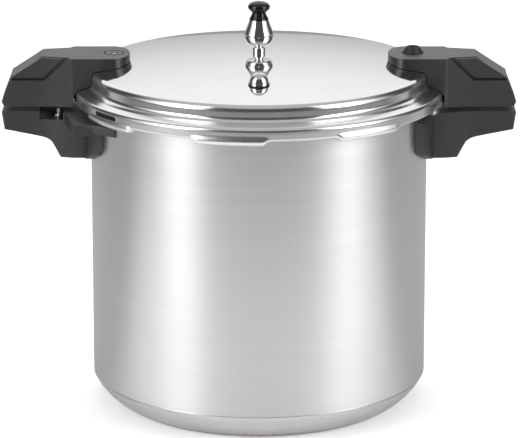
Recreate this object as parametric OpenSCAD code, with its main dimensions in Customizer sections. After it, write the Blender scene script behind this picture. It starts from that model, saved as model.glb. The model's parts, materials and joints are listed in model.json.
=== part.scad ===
// Pressure canner: deep pot with a bayonet rim, domed lid that turns to lock, side handles on
// the pot and on the lid, a weight on the vent tube, an interlock pin and a perforated rack.
// The base of the pot stands on z = 0, centred on the Z axis; the handles lie along X.

/* [Pot] */
// Outside radius of the pot wall
pot_r = 159; // [125:1:195]
// Height of the pot rim above the base
pot_h = 301; // [200:1:380]
// Thickness of the pot wall
wall_t = 3; // [2:0.1:4]
// Thickness of the pot base
base_t = 5; // [4:0.5:8]
// Radial width of the machined bevel round the base
bevel_w = 28; // [16:1:36]
// Height of the machined bevel
bevel_h = 27.5; // [16:0.5:36]

/* [Bayonet] */
// Number of locking lugs round the rim
lug_n = 8; // [5:1:10]
// Share of the pitch that one lid lug covers
lug_share = 0.5; // [0.38:0.01:0.52]
// Polar angle of the centre of the first lug
lug_from = -9; // [-22:1:22]

/* [Lid] */
// Thickness of the lid sheet
lid_t = 3; // [2.2:0.1:3.8]
// Height of the dome over the lid wall
crown = 14; // [8:0.5:22]
// Outside radius of the lid skirt beyond the pot wall
skirt_out = 15; // [13:0.5:18]
// Length of the gasket window in the skirt, in degrees
window_deg = 11; // [6:1:16]

/* [Handles] */
// How far the handles reach beyond the pot wall
reach = 83.4; // [66:0.5:104]
// Width of the grips
grip_w = 40; // [33:1:50]
// Width of the handle shoulders
shoulder_w = 55; // [52:1:68]
// Height of the lid handle top above the pot rim
handle_top = 36; // [35:0.5:46]
// Height of the pot handle at the wall
saddle_h = 44; // [38:1:56]
// Thickness of the moulded handle walls
shell_t = 4; // [3:0.5:5]

/* [Weight and valves] */
// Largest radius of the weight
weight_r = 13.9; // [11:0.1:18]
// Height of the metal part of the weight
weight_h = 24.2; // [19:0.2:30]
// Largest radius of the knob on the weight
knob_r = 10.4; // [8:0.1:14]
// Distance of the relief valve from the centre
relief_y = 105.7; // [60:1:110]
// Radius of the relief valve cap
relief_r = 9; // [7:0.5:12]

/* [Rack] */
// Radius of the rack
rack_r = 139; // [100:1:139]
// Height of the rack feet
rack_h = 12; // [9.5:0.5:16]

/* [Hidden] */
$fn = 96;
rim = pot_h;                       // top of the pot rim
pitch = 360 / lug_n;               // angle from lug to lug
lug_deg = pitch * lug_share;       // angle that a lid lug covers
sr = pot_r + skirt_out;            // outside radius of the lid skirt
lip_r = pot_r + 6;                 // inside radius of the lid lugs
plug_reach = sr - lid_t - 0.7;     // outside radius of the pot lugs
lw = pot_r + 0.5;                  // outside radius of the lid wall
tip = pot_r + reach;               // outer end of the handles
nose = pot_r - 37.3;               // inner end of the lid handles
gw = grip_w / 2;
sw = shoulder_w / 2;
ht = rim + handle_top;             // top of the lid handles
hb = rim - 11;                     // bottom of the lid handles
pt = rim - 16;                     // top of the pot handles
pb = pt - saddle_h;                // bottom of the pot handles
bz = rim + 24.1;                   // underside of the lid brackets
bt = 2.5;                          // thickness of the brackets
tz = pt - 23;                      // underside of the pot bracket tongues
foot_x = pot_r - 28;               // inner end of the lid brackets
bend_x = pot_r - 6;                // where the lid brackets turn level
riv_x = pot_r - 17;                // rivets of the lid brackets
lsx = pot_r + 0.456 * reach;                  // screws of the lid handles
psx = pot_r + 0.356 * reach;                // screws of the pot handles
tw = min(12, gw - shell_t - 1.5);   // half width of the tongues in the lid handles
pw = min(16, gw - shell_t + 1.9);   // half width of the pot brackets
plug_x = pot_r - 14;               // overpressure plug
pin_x = pot_r - 22.4;              // interlock pin
cr = 1.2 * max(bevel_w, bevel_h) + 3;   // inside corner radius of the pot
gap = 0.05;                        // radial clearance of screws and stems

// ---------------------------------------------------------------- curves
function arc(c, r, a0, a1, n = 8) =
    [for (i = [0:n]) let(a = a0 + (a1 - a0) * i / n) [c.x + r * cos(a), c.y + r * sin(a)]];

// arc from a to b that bows out to the right of the way by s
function bow(a, b, s, n = 10) =
    let(l = norm(b - a), r = (l * l / 4 + s * s) / (2 * s), h = asin(l / 2 / r),
        u = (b - a) / l, v = [u.y, -u.x], m = (a + b) / 2)
    [for (i = [0:n]) let(t = h * (2 * i / n - 1)) m + u * r * sin(t) + v * (r * cos(t) - r + s)];

// the same line moved sideways by t, to the right of the way
function beside(p, t) =
    [for (i = [0:len(p) - 1]) let(a = p[max(i - 1, 0)], b = p[min(i + 1, len(p) - 1)],
        d = (b - a) / norm(b - a)) p[i] + t * [p[i].x > 0 ? d.y : 0, -d.x]];

function back(p) = [for (i = [len(p) - 1:-1:0]) p[i]];

// height of the lid surface at radius r
function dome(r) = rim + 22.5 + crown * (1 - pow(r / (pot_r - 1), 2));

// half width of the pot at a given y
function wallx(y) = sqrt(pot_r * pot_r - y * y);

// outside line of the lid, from the centre out and down to the skirt edge
fr = lid_t + 0.6;
lid_line = concat(
    [for (i = [0:12]) let(r = (lw - 5.2) * i / 12) [r, dome(r)]],
    arc([lw - 6, dome(lw - 5) - 5.91], 6, 76, 0, 7),
    arc([lw + 4, rim + 12.1], 4, 180, 246, 6),
    [[lw + 6.5, rim + 6.7]],
    arc([sr - fr, rim + 1.6], fr, 66, 0, 7),
    [[sr, rim - 6.7]]);

// ---------------------------------------------------------------- helpers
// slab with a given outline in X and Z, from y0 to y1
module slab(p, y0, y1) translate([0, y1, 0]) rotate([90, 0, 0]) linear_extrude(y1 - y0) polygon(p);

module ring_arc(p, a0, a) rotate([0, 0, a0]) rotate_extrude(angle = a, $fn = 180) polygon(p);

module at_lugs() for (i = [0:lug_n - 1]) rotate([0, 0, lug_from + i * pitch]) children();

module two_sides() { children(); rotate([0, 0, 180]) children(); }

module hex_nut(r, bore, h) difference() {
    cylinder(r = r, h = h, $fn = 6);
    translate([0, 0, -1]) cylinder(r = bore, h = h + 2, $fn = 48);
}

// rivets of a lid bracket: a frame that stands square on the sloping foot
foot_z = dome(foot_x) + 0.35;
foot_a = atan((foot_z - bz) / (bend_x - foot_x));
module at_lid_rivets(s) for (y = [-17, 17])
    translate([s * riv_x, y, (foot_z + bz) / 2]) rotate([0, s * foot_a, 0]) children();

// rivets of the pot brackets, pointing outwards along X
module at_pot_rivets() two_sides() for (y = [-10, 10], z = [tz - 8.5, tz + 10.5])
    translate([pot_r, y, z]) rotate([0, 90, 0]) children();

relief_a = atan(2 * crown * relief_y / pow(pot_r - 1, 2));
module at_relief() translate([0, -relief_y, dome(relief_y)]) rotate([relief_a, 0, 0]) children();

// ---------------------------------------------------------------- pot
module pot() color([0.80, 0.80, 0.80]) difference() {
    union() {
        rotate_extrude($fn = 180) polygon(concat(
            [[0, 0.8], [pot_r - bevel_w - 31, 0.8], [pot_r - bevel_w - 30, 0]],
            bow([pot_r - bevel_w, 0], [pot_r, bevel_h], 3, 10),
            [[pot_r, rim - 9], [pot_r + 3.5, rim - 7.8], [pot_r + 3.5, rim - 4], [pot_r, rim - 3.2]],
            arc([pot_r - wall_t / 2, rim - wall_t / 2], wall_t / 2, 0, 180, 8),
            arc([pot_r - wall_t - cr, base_t + cr], cr, 0, -90, 10),
            [[0, base_t]]));
        at_lugs() ring_arc([[pot_r - 1, rim - 7.6], [plug_reach - 1, rim - 7.6],
            [plug_reach, rim - 6.9], [plug_reach, rim - 5.1], [plug_reach - 1, rim - 4.3],
            [pot_r - 1, rim - 4.3]], -lug_deg / 2 + 1.2, lug_deg - 2.4);
    }
    at_pot_rivets() translate([0, 0, -8]) cylinder(r = 2.4 + gap, h = 12, $fn = 48);
}

// ---------------------------------------------------------------- pot handles
module pot_handle() color([0.16, 0.155, 0.155]) difference() {
    union() {
        intersection() {
            slab([[pot_r - 12, pb], [pot_r + 0.335 * reach, pb + 0.5],
                [pot_r + 0.451 * reach, pb + 0.39 * saddle_h],
                [pot_r + 0.504 * reach, pb + 0.43 * saddle_h], [tip - 2.6, pt - 17.5], [tip, pt - 1.4],
                [tip - 1.2, pt], [pot_r - 12, pt]], -sw - 1, sw + 1);
            linear_extrude(pt + 5) polygon([[pot_r - 10, -sw + 0.5], [pot_r + 17, -sw + 0.5],
                [pot_r + 0.54 * reach, -gw], [tip - 3, -gw], [tip, -gw + 3], [tip, gw - 3],
                [tip - 3, gw], [pot_r + 0.54 * reach, gw], [pot_r + 17, sw - 0.5],
                [pot_r - 10, sw - 0.5]]);
        }
        // saddle that hugs the pot wall
        intersection() {
            ring_arc([[pot_r - 3, pb], [pot_r + 7.5, pb], [pot_r + 7.5, pt - 0.8],
                [pot_r - 3, pt - 0.8]],
                -asin(76 / pot_r), 2 * asin(76 / pot_r));
            translate([0, 0, pt]) rotate([90, 0, 90]) linear_extrude(pot_r + 20)
                polygon([[-66.5, 1], [-66, -10], [-65, -23], [-62.4, -29], [-57, -33.4], [-50, -36.6],
                    [-38, -41], [-26, -saddle_h - 1], [26, -saddle_h - 1], [38, -41], [50, -36.6],
                    [57, -33.4], [62.4, -29], [65, -23], [66, -10], [66.5, 1]]);
        }
        // wing on the side that the lid handle turns away from
        translate([0, 0, pt - 11]) linear_extrude(11) polygon([[pot_r - 4, 4], [pot_r + 24.5, 22],
            [wallx(74) + 31.3, 74], [wallx(74) - 4, 74], [pot_r - 8, 40]]);
        translate([0, 0, pt - 8.4]) linear_extrude(8) polygon([[wallx(74) + 14, 70],
            [wallx(74) + 14, 74], [wallx(89) + 2, 89], [wallx(89) - 3, 89], [wallx(74) - 4, 70]]);
    }
    // the pot wall
    translate([0, 0, pb - 5]) cylinder(r = pot_r + 0.35, h = saddle_h + 10, $fn = 180);
    // hollow, open below
    intersection() {
        slab([[pot_r - 12, pb - 10], [pot_r - 12, pt - shell_t - 0.5],
            [tip - shell_t - 1, pt - shell_t - 0.5], [tip - shell_t - 3, pb - 10]], -sw, sw);
        linear_extrude(pt + 5) polygon([[pot_r - 12, -sw + 0.5 + shell_t],
            [pot_r + 17, -sw + 0.5 + shell_t], [pot_r + 0.54 * reach, -gw + shell_t],
            [tip, -gw + shell_t], [tip, gw - shell_t], [pot_r + 0.54 * reach, gw - shell_t],
            [pot_r + 17, sw - 0.5 - shell_t], [pot_r - 12, sw - 0.5 - shell_t]]);
    }
    // cut-away in the top and side, over the outer screw
    translate([pot_r + 0.331 * reach - 2.5, 2, pt - 7.5])
        cube([0.239 * reach + 2.5, sw + 4, 10]);
}

// screw posts and the rib that ties them to the handle walls
module pot_handle_posts() difference() {
    union() {
        for (y = [-9, 9]) translate([psx, y, tz + bt + 0.3]) cylinder(r = 5.5, h = 12.5, $fn = 48);
        intersection() {
            translate([psx - 1.75, -sw, tz + bt + 3]) cube([3.5, 2 * sw, 9.8]);
            linear_extrude(pt) polygon([[pot_r, -sw + 2.5], [pot_r + 17, -sw + 2.5],
                [pot_r + 0.54 * reach, -gw + 2], [pot_r + 0.54 * reach, gw - 2],
                [pot_r + 17, sw - 2.5], [pot_r, sw - 2.5]]);
        }
    }
    for (y = [-9, 9]) translate([psx, y, tz]) cylinder(r = 2.5 + gap, h = 40, $fn = 48);
}

module pot_handle_all() { pot_handle(); color([0.16, 0.155, 0.155]) pot_handle_posts(); }
module pot_handle_right() pot_handle_all();
module pot_handle_left() rotate([0, 0, 180]) pot_handle_all();

module pot_bracket() color([0.62, 0.62, 0.63]) difference() {
    slab([[pot_r + 0.3, tz - 15], [pot_r + 0.3 + bt, tz - 15], [pot_r + 0.3 + bt, tz],
        [psx + 9, tz], [psx + 9, tz + bt], [pot_r + 0.3 + bt, tz + bt], [pot_r + 0.3 + bt, tz + 17],
        [pot_r + 0.3, tz + 17]], -pw, pw);
    for (y = [-10, 10], z = [tz - 8.5, tz + 10.5]) translate([pot_r, y, z]) rotate([0, 90, 0])
        cylinder(r = 2.4 + gap, h = 8, center = true, $fn = 48);
    for (y = [-9, 9]) translate([psx, y, tz - 1]) cylinder(r = 2.5 + gap, h = 5, $fn = 48);
}
module pot_bracket_right() pot_bracket();
module pot_bracket_left() rotate([0, 0, 180]) pot_bracket();

module pot_bracket_rivets() color([0.70, 0.70, 0.70]) at_pot_rivets() {
    z0 = wallx(15) - pot_r - wall_t - 2.4;
    rotate_extrude($fn = 48) polygon([[0, z0], [3.2, z0], [4.4, z0 + 1.1], [4.4, z0 + 2.1],
        [2.4, z0 + 2.1], [2.4, bt + 0.4], [4.4, bt + 0.4], [4.4, bt + 1.2], [3, bt + 2.3],
        [0, bt + 2.3]]);
}

module pot_handle_screws() color([0.75, 0.75, 0.76]) two_sides() for (y = [-9, 9])
    translate([psx, y, tz]) rotate_extrude($fn = 48)
        polygon([[0, -3.4], [4.2, -3.4], [5, -2.6], [5, -0.05], [2.5, -0.05],
            [2.5, y > 0 ? 23.4 : 17.4], [1.9, y > 0 ? 24 : 18], [0, y > 0 ? 24 : 18]]);

module pot_handle_nuts() color([0.75, 0.75, 0.76]) two_sides() for (y = [-9, 9])
    translate([psx, y, tz + bt + 12.85]) hex_nut(4.6, 2.5 + gap, 2.6);

// ---------------------------------------------------------------- lid
module lid() color([0.84, 0.84, 0.84]) difference() {
    union() {
        rotate_extrude($fn = 180) polygon(concat(lid_line, back(beside(lid_line, lid_t))));
        at_lugs() ring_arc([[sr - lid_t + 0.4, rim - 2], [sr - 0.6, rim - 2], [sr - 0.6, rim - 3.8],
            [sr + 1.2, rim - 5.6], [sr + 1.2, rim - 8.2], [sr - 0.2, rim - 10.4],
            [sr - 2.4, rim - 11.3], [lip_r + 0.8, rim - 11.3], [lip_r, rim - 10.6],
            [lip_r, rim - 8.9], [lip_r + 0.6, rim - 8.3], [sr - lid_t, rim - 8.3],
            [sr - lid_t + 0.4, rim - 7.9]], -lug_deg / 2, lug_deg);
    }
    // window that shows the gasket
    ring_arc([[sr - lid_t - 2, rim - 3], [sr + 4, rim - 3], [sr + 4, rim + 1.5],
        [sr - lid_t - 2, rim + 1.5]], -150, window_deg);
    // vent, relief valve, plug, interlock and rivet holes
    translate([0, 0, dome(0) - 10]) cylinder(r = 5, h = 20, $fn = 48);
    at_relief() translate([0, 0, -8]) cylinder(r = 4, h = 16, $fn = 48);
    translate([plug_x, 0, rim + 10]) cylinder(r = 8, h = 30, $fn = 64);
    translate([-pin_x, 0, rim + 10]) cylinder(r = 5.55, h = 30, $fn = 48);
    for (s = [-1, 1]) at_lid_rivets(s) translate([0, 0, -8]) cylinder(r = 2.4 + gap, h = 12, $fn = 48);
}

module gasket() color([0.12, 0.12, 0.12]) rotate_extrude($fn = 180)
    polygon([[pot_r - 2, rim + 0.5], [pot_r + 4, rim + 0.5], [pot_r + 4, rim - 2.6],
        [sr - lid_t - 0.3, rim - 2.6], [sr - lid_t - 0.3, rim + 0.7], [sr - lid_t - 2.2, rim + 1.7],
        [lw + 3.6, rim + 4], [lw + 1, rim + 4.8], [pot_r - 2, rim + 2.6]]);

// ---------------------------------------------------------------- lid handles
function lid_plan(o) = concat(
    [for (a = [90:15:270]) [pot_r - 21 + (16.3 - o) * cos(a), (sw - o) * sin(a)]],
    [[pot_r + 16, -sw + o], [pot_r + 17.5, -sw + 1.5 + o], [pot_r + 0.54 * reach, -gw + o],
     [tip - 2, -gw + o], [tip + 1 - o, -gw + 3 + o * 0.4], [tip + 1 - o, gw - 3 - o * 0.4],
     [tip - 2, gw - o], [pot_r + 0.54 * reach, gw - o], [pot_r + 17.5, sw - 1.5 - o],
     [pot_r + 16, sw - o]]);

slope_x = pot_r + 0.905 * reach;
slope_z = rim + 13.3;

module lid_handle() difference() {
    intersection() {
        slab([[nose - 2, hb], [tip - 2.4, hb], [tip - 1, hb + 2], [tip, hb + 3.7], [slope_x, slope_z],
            [pot_r + 0.54 * reach, ht], [nose - 2, ht]], -sw - 1, sw + 1);
        translate([0, 0, rim - 20]) linear_extrude(handle_top + 30) polygon(lid_plan(0));
    }
    // the lid surface and the skirt with its lugs
    rotate_extrude($fn = 180) polygon(concat([[0, rim - 20]], beside(lid_line, -0.4),
        [[sr + 0.4, rim - 20]]));
    translate([0, 0, rim - 20]) cylinder(r = sr + 2.2, h = 22, $fn = 180);
    // sunk panel on each side of the slope
    difference() {
        slab([[slope_x, slope_z], [pot_r + 0.512 * reach, slope_z + 0.5],
            [pot_r + 17.7, ht + 1], [pot_r + 0.54 * reach + 1, ht + 1]], -sw - 2, sw + 2);
        translate([0, 0, rim - 20]) linear_extrude(handle_top + 30) polygon(lid_plan(1.1));
    }
    // hollow grip, open below
    intersection() {
        slab([[pot_r + 17.5 + shell_t, hb - 5], [pot_r + 17.5 + shell_t, ht - shell_t - 2],
            [pot_r + 20 + shell_t, ht - shell_t - 0.5], [pot_r + 0.54 * reach - 1.5, ht - shell_t - 0.5],
            [slope_x - shell_t - 0.5, slope_z - 2.6], [tip - shell_t - 1, hb + 3],
            [tip - shell_t - 1.5, hb - 5]], -sw, sw);
        translate([0, 0, rim - 25]) linear_extrude(handle_top + 30) polygon(lid_plan(shell_t + 1));
    }
    // hollow over the foot of the bracket
    intersection() {
        slab([[nose + 5, rim + 5], [pot_r + 13, rim + 5], [pot_r + 13, ht - shell_t - 0.5],
            [nose + 5, ht - shell_t - 0.5]], -sw, sw);
        translate([0, 0, rim - 20]) linear_extrude(handle_top + 30) polygon(lid_plan(shell_t));
    }
    // slot for the bracket
    translate([0, 0, bz - 0.4]) linear_extrude(bt + 1) polygon([[pot_r + 10, -22.4],
        [pot_r + 20.5, -22.4], [pot_r + 20.5, -tw - 0.4], [pot_r + 19.5 + shell_t, -tw - 0.4],
        [pot_r + 19.5 + shell_t, tw + 0.4], [pot_r + 20.5, tw + 0.4], [pot_r + 20.5, 22.4],
        [pot_r + 10, 22.4]]);
}

// screw post and its rib
module lid_handle_post() difference() {
    union() {
        translate([lsx, 0, rim + 3]) cylinder(r = 7, h = 20.8, $fn = 48);
        intersection() {
            translate([lsx - 1.75, -sw, rim + 3]) cube([3.5, 2 * sw, 20.8]);
            translate([0, 0, rim - 20]) linear_extrude(handle_top + 30) polygon(lid_plan(shell_t - 1));
        }
    }
    translate([lsx, 0, rim]) cylinder(r = 3, h = 30, $fn = 48);
}

module lid_handle_right() color([0.16, 0.155, 0.155]) {
    difference() {
        lid_handle();
        translate([plug_x, 0, ht - 20]) cylinder(r = 8.5, h = 30, $fn = 64);
    }
    lid_handle_post();
}

module lid_handle_left() color([0.16, 0.155, 0.155]) mirror([1, 0, 0]) {
    difference() {
        lid_handle();
        translate([pin_x, 0, ht - 20]) cylinder(r = 3.2, h = 30, $fn = 48);
        translate([pin_x, 0, ht - 0.8]) difference() {
            cylinder(r = 10, h = 3, $fn = 64);
            translate([0, 0, -1]) cylinder(r = 8.6, h = 5, $fn = 64);
        }
    }
    lid_handle_post();
}

module lid_bracket(hole_x, hole_r) difference() {
    slab([[foot_x, foot_z], [bend_x, bz], [lsx + 0.1 * reach, bz], [lsx + 0.1 * reach, bz + bt],
        [bend_x + 0.2, bz + bt], [foot_x, foot_z + bt]], -22, 22);
    translate([hole_x, 0, rim]) cylinder(r = hole_r, h = 60, $fn = 64);
    at_lid_rivets(1) cylinder(r = 2.4 + gap, h = 12, center = true, $fn = 48);
    translate([lsx, 0, rim]) cylinder(r = 3, h = 60, $fn = 48);
    // the tongue narrows inside the grip
    for (s = [0, 1]) mirror([0, s, 0]) translate([pot_r + 20, tw, rim]) cube([60, 30, 60]);
    // corners of the foot, clear of the rounded nose of the handle
    for (s = [0, 1]) mirror([0, s, 0]) translate([0, 0, rim]) linear_extrude(60)
        polygon([[foot_x - 1, 17.3], [foot_x + 5, 22.2], [foot_x + 5, 24], [foot_x - 1, 24]]);
}
module lid_bracket_right() color([0.62, 0.62, 0.63]) lid_bracket(plug_x, 9.2);
module lid_bracket_left() color([0.62, 0.62, 0.63]) mirror([1, 0, 0]) lid_bracket(pin_x, 8.6);

module lid_bracket_rivets() color([0.70, 0.70, 0.70]) for (s = [-1, 1]) at_lid_rivets(s)
    rotate_extrude($fn = 48) polygon([[0, -lid_t - 3], [3, -lid_t - 3], [4.2, -lid_t - 2.2],
        [4.2, -lid_t - 1.35], [2.4, -lid_t - 1.35], [2.4, bt + 0.05], [4.3, bt + 0.05],
        [4.3, bt + 0.8], [2.8, bt + 1.8], [0, bt + 1.8]]);

module lid_handle_screws() color([0.75, 0.75, 0.76]) for (s = [-1, 1]) translate([s * lsx, 0, rim])
    rotate_extrude($fn = 48) polygon([[0, -1], [4.6, -1], [5.5, -0.2], [5.5, 2.9], [2.95, 2.9],
        [2.95, 30], [2.4, 30.6], [0, 30.6]]);

module lid_handle_nuts() color([0.75, 0.75, 0.76]) for (s = [-1, 1])
    translate([s * lsx, 0, bz + bt + 0.05]) hex_nut(5.6, 3, 3.4);

// ---------------------------------------------------------------- vent tube
vz = dome(0);
module vent_tube() color([0.85, 0.85, 0.86]) translate([0, 0, vz]) difference() {
    rotate_extrude($fn = 64) polygon([[0, -11], [4.3, -11], [4.95, -10.3], [4.95, 0.05], [6, 0.05],
        [6, 3.9], [5.2, 5], [3.6, 6], [3.6, 6.6], [4, 7.3], [3, 7.3], [3, 13.4], [2.4, 14.4],
        [0, 14.4]]);
    translate([0, 0, -12]) cylinder(r = 1.5, h = 30, $fn = 32);
}
module vent_washer() color([0.12, 0.12, 0.12]) translate([0, 0, vz - lid_t - 1.4]) difference() {
    cylinder(r = 9, h = 1.3, $fn = 48);
    translate([0, 0, -1]) cylinder(r = 5, h = 4, $fn = 48);
}
module vent_nut() color([0.75, 0.75, 0.76]) translate([0, 0, vz - lid_t - 5.6]) hex_nut(8, 5, 4.1);

// ---------------------------------------------------------------- relief valve
module relief_cap() color([0.85, 0.85, 0.86]) at_relief() rotate_extrude($fn = 64)
    polygon(concat([[0, -11], [3.3, -11], [3.95, -10.3], [3.95, 1.25], [relief_r + 0.2, 1.25],
        [relief_r + 0.2, 2.1], [relief_r, 2.4]],
        [for (a = [12:13:90]) [relief_r * cos(a), 2.2 + 9.2 * sin(a)]], [[0, 11.4]]));
module relief_seal() color([0.12, 0.12, 0.12]) at_relief() translate([0, 0, 0.15]) difference() {
    cylinder(r = relief_r + 0.8, h = 1.05, $fn = 64);
    translate([0, 0, -1]) cylinder(r = 4, h = 4, $fn = 48);
}
module relief_nut() color([0.75, 0.75, 0.76]) at_relief() translate([0, 0, -lid_t - 4.5])
    hex_nut(7, 4, 4.1);

// ---------------------------------------------------------------- overpressure plug
plug_z = dome(plug_x + 8) - lid_t - 0.45;
module overpressure_plug() color([0.10, 0.10, 0.10]) translate([plug_x, 0, 0]) rotate_extrude($fn = 64)
    polygon([[0, plug_z - 3.6], [8.6, plug_z - 3.6], [9.6, plug_z - 2.4], [9.6, plug_z],
        [7.95, plug_z], [7.95, ht + 0.1], [10.2, ht + 0.1], [10.2, ht + 0.8], [6.4, ht + 6],
        [4.8, ht + 6], [4.8, ht + 2.5], [0, ht + 2.5]]);

// ---------------------------------------------------------------- interlock
bush_lo = dome(pin_x + 8) - lid_t - 1.2;
bush_hi = dome(pin_x - 8) + 0.2;
module interlock_bush() color([0.75, 0.75, 0.76]) translate([-pin_x, 0, 0]) difference() {
    rotate_extrude($fn = 64) polygon([[0, bush_lo], [5.5, bush_lo], [5.5, bush_hi], [7.6, bush_hi],
        [7.6, bush_hi + 1.8], [0, bush_hi + 1.8]]);
    translate([0, 0, bush_lo - 1]) cylinder(r = 2.7, h = 20, $fn = 48);
}
module interlock_pin() color([0.85, 0.85, 0.86]) translate([-pin_x, 0, 0]) rotate_extrude($fn = 48)
    polygon([[0, bush_lo - 7], [2.1, bush_lo - 7], [2.64, bush_lo - 6.4], [2.64, ht - 1.2],
        [1.9, ht - 0.4], [0, ht - 0.2]]);
module interlock_clip() color([0.75, 0.75, 0.76]) translate([-pin_x, 0, bush_lo - 5.7]) difference() {
    cylinder(r = 4.8, h = 1.2, $fn = 48);
    translate([0, 0, -1]) cylinder(r = 2.66, h = 4, $fn = 48);
}

// ---------------------------------------------------------------- weight
wz = vz + 7.4;
kz = wz + weight_h;
module weight_body() color([0.85, 0.85, 0.86]) translate([0, 0, wz]) difference() {
    rotate_extrude($fn = 96) polygon([[0, 0], [4.7, 0], [5.2, 0.5], [0.62 * weight_r, 0.11 * weight_h],
        [0.86 * weight_r, 0.22 * weight_h], [0.97 * weight_r, 0.31 * weight_h],
        [weight_r, 0.38 * weight_h], [0.98 * weight_r, 0.46 * weight_h],
        [0.90 * weight_r, 0.58 * weight_h], [0.78 * weight_r, 0.74 * weight_h],
        [0.69 * weight_r, 0.88 * weight_h], [0.655 * weight_r, 0.96 * weight_h],
        [0.63 * weight_r, weight_h], [0, weight_h]]);
    translate([0, 0, -1]) cylinder(r = 3.05, h = 9.4, $fn = 64);
    translate([0, 0, weight_h - 8]) cylinder(r = 2, h = 10, $fn = 48);
}
module weight_knob() color([0.07, 0.07, 0.075]) translate([0, 0, kz + 0.05]) difference() {
    rotate_extrude($fn = 96) polygon([[0, 0], [8.9, 0], [9, 0.8], [8.2, 2.2], [7, 4.2],
        [6.6, 5.8], [7.4, 7.4], [0.9 * knob_r, 9.3], [knob_r, 11.4], [0.97 * knob_r, 13.4],
        [0.83 * knob_r, 15.2], [0.5 * knob_r, 16.6], [0, 17.1]]);
    translate([0, 0, -1]) cylinder(r = 2, h = 10.5, $fn = 48);
}
module weight_screw() color([0.75, 0.75, 0.76]) translate([0, 0, kz - 7.5])
    cylinder(r = 1.95, h = 16.5, $fn = 48);

// ---------------------------------------------------------------- rack
// the rack stands on its foot ring inside the rounded corner of the pot
rk = min(rack_r, pot_r - wall_t - cr + sqrt(cr * cr - pow(cr - rack_h + 3, 2)) - 3);
rf = min(0.72 * rk, pot_r - wall_t - cr - 4);
module canning_rack() color([0.78, 0.78, 0.78]) translate([0, 0, base_t + 0.3]) difference() {
    rotate_extrude($fn = 180) polygon([[0, rack_h], [rf - 2, rack_h], [rf - 2, 0], [rf, 0],
        [rf, rack_h], [rk - 2, rack_h], [rk - 2, rack_h - 2.6], [rk, rack_h - 2.6],
        [rk, rack_h + 1.2], [rk - 0.8, rack_h + 2], [0, rack_h + 2]]);
    translate([0, 0, rack_h - 1]) cylinder(r = 0.065 * rk, h = 5, $fn = 48);
    for (k = [[6, 0.22], [12, 0.42], [16, 0.60], [24, 0.86]]) for (i = [0:k[0] - 1])
        rotate([0, 0, (i + 0.5) * 360 / k[0]]) translate([k[1] * rk, 0, rack_h - 1])
            cylinder(r = 0.048 * rk, h = 5, $fn = 32);
}

pot();
pot_handle_left();
pot_handle_right();
pot_bracket_left();
pot_bracket_right();
pot_bracket_rivets();
pot_handle_screws();
pot_handle_nuts();
lid();
gasket();
lid_handle_left();
lid_handle_right();
lid_bracket_left();
lid_bracket_right();
lid_bracket_rivets();
lid_handle_screws();
lid_handle_nuts();
vent_tube();
vent_washer();
vent_nut();
relief_cap();
relief_seal();
relief_nut();
overpressure_plug();
interlock_bush();
interlock_pin();
interlock_clip();
weight_body();
weight_knob();
weight_screw();
canning_rack();
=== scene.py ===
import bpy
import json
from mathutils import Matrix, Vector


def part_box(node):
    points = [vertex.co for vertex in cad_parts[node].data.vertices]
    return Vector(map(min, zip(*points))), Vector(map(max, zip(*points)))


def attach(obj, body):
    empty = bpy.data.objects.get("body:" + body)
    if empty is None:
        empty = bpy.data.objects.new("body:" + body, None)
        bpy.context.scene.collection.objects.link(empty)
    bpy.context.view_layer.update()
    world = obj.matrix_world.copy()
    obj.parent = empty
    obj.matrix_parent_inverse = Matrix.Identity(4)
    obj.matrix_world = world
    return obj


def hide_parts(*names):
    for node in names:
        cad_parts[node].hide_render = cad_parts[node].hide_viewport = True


bl_info = {
    "name": "Pressure canner",
    "version": (1, 0, 0),
    "blender": (4, 5, 0),
    "location": "3D View > Sidebar > Canner",
    "description": "Builds the visible pieces of a pressure canner round its packed frame",
    "category": "Add Mesh",
}

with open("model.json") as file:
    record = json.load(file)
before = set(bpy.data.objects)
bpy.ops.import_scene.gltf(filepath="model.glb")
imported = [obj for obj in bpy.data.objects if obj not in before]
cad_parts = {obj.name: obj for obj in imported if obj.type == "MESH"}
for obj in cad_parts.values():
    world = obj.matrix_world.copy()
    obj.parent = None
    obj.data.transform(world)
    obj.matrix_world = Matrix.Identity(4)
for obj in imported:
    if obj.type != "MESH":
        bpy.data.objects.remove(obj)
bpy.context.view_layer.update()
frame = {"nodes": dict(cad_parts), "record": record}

import json
from math import asin, atan2, cos, degrees, hypot, pi, radians, sin, sqrt

import bmesh
import bpy
from mathutils import Matrix, Vector

RECORD = frame["record"]
NODES = frame["nodes"]

# Places in millimetres, read from the frame.
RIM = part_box("pot")[1].z * 1000                      # top of the pot rim
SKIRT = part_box("lid")[1].x * 1000 - 1.2              # outside radius of the lid skirt
LID_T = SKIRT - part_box("gasket")[1].x * 1000 - 0.3   # thickness of the lid sheet
WALL = SKIRT - 15                                    # outside radius of the pot wall
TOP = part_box("lid")[1].z * 1000                      # crown of the lid
EDGE = 22.5                                          # height of the dome's edge over the rim
CROWN = TOP - RIM - EDGE                             # rise from that edge to the crown
LUGS = 8                                             # lugs on the pot rim, and as many on the lid
LUG_FROM = -9.0                                      # angle of the first lug, in degrees
BEVEL = 28                                           # width of the machined bevel at the foot
POT_T = 3.0                                          # thickness of the pot wall
FLOOR_T = 5                                          # thickness of the pot's base
CORNER = 1.2 * BEVEL + POT_T                         # radius of the corner inside the pot
RELIEF = 105.7                                       # distance of the relief valve from the axis


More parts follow.
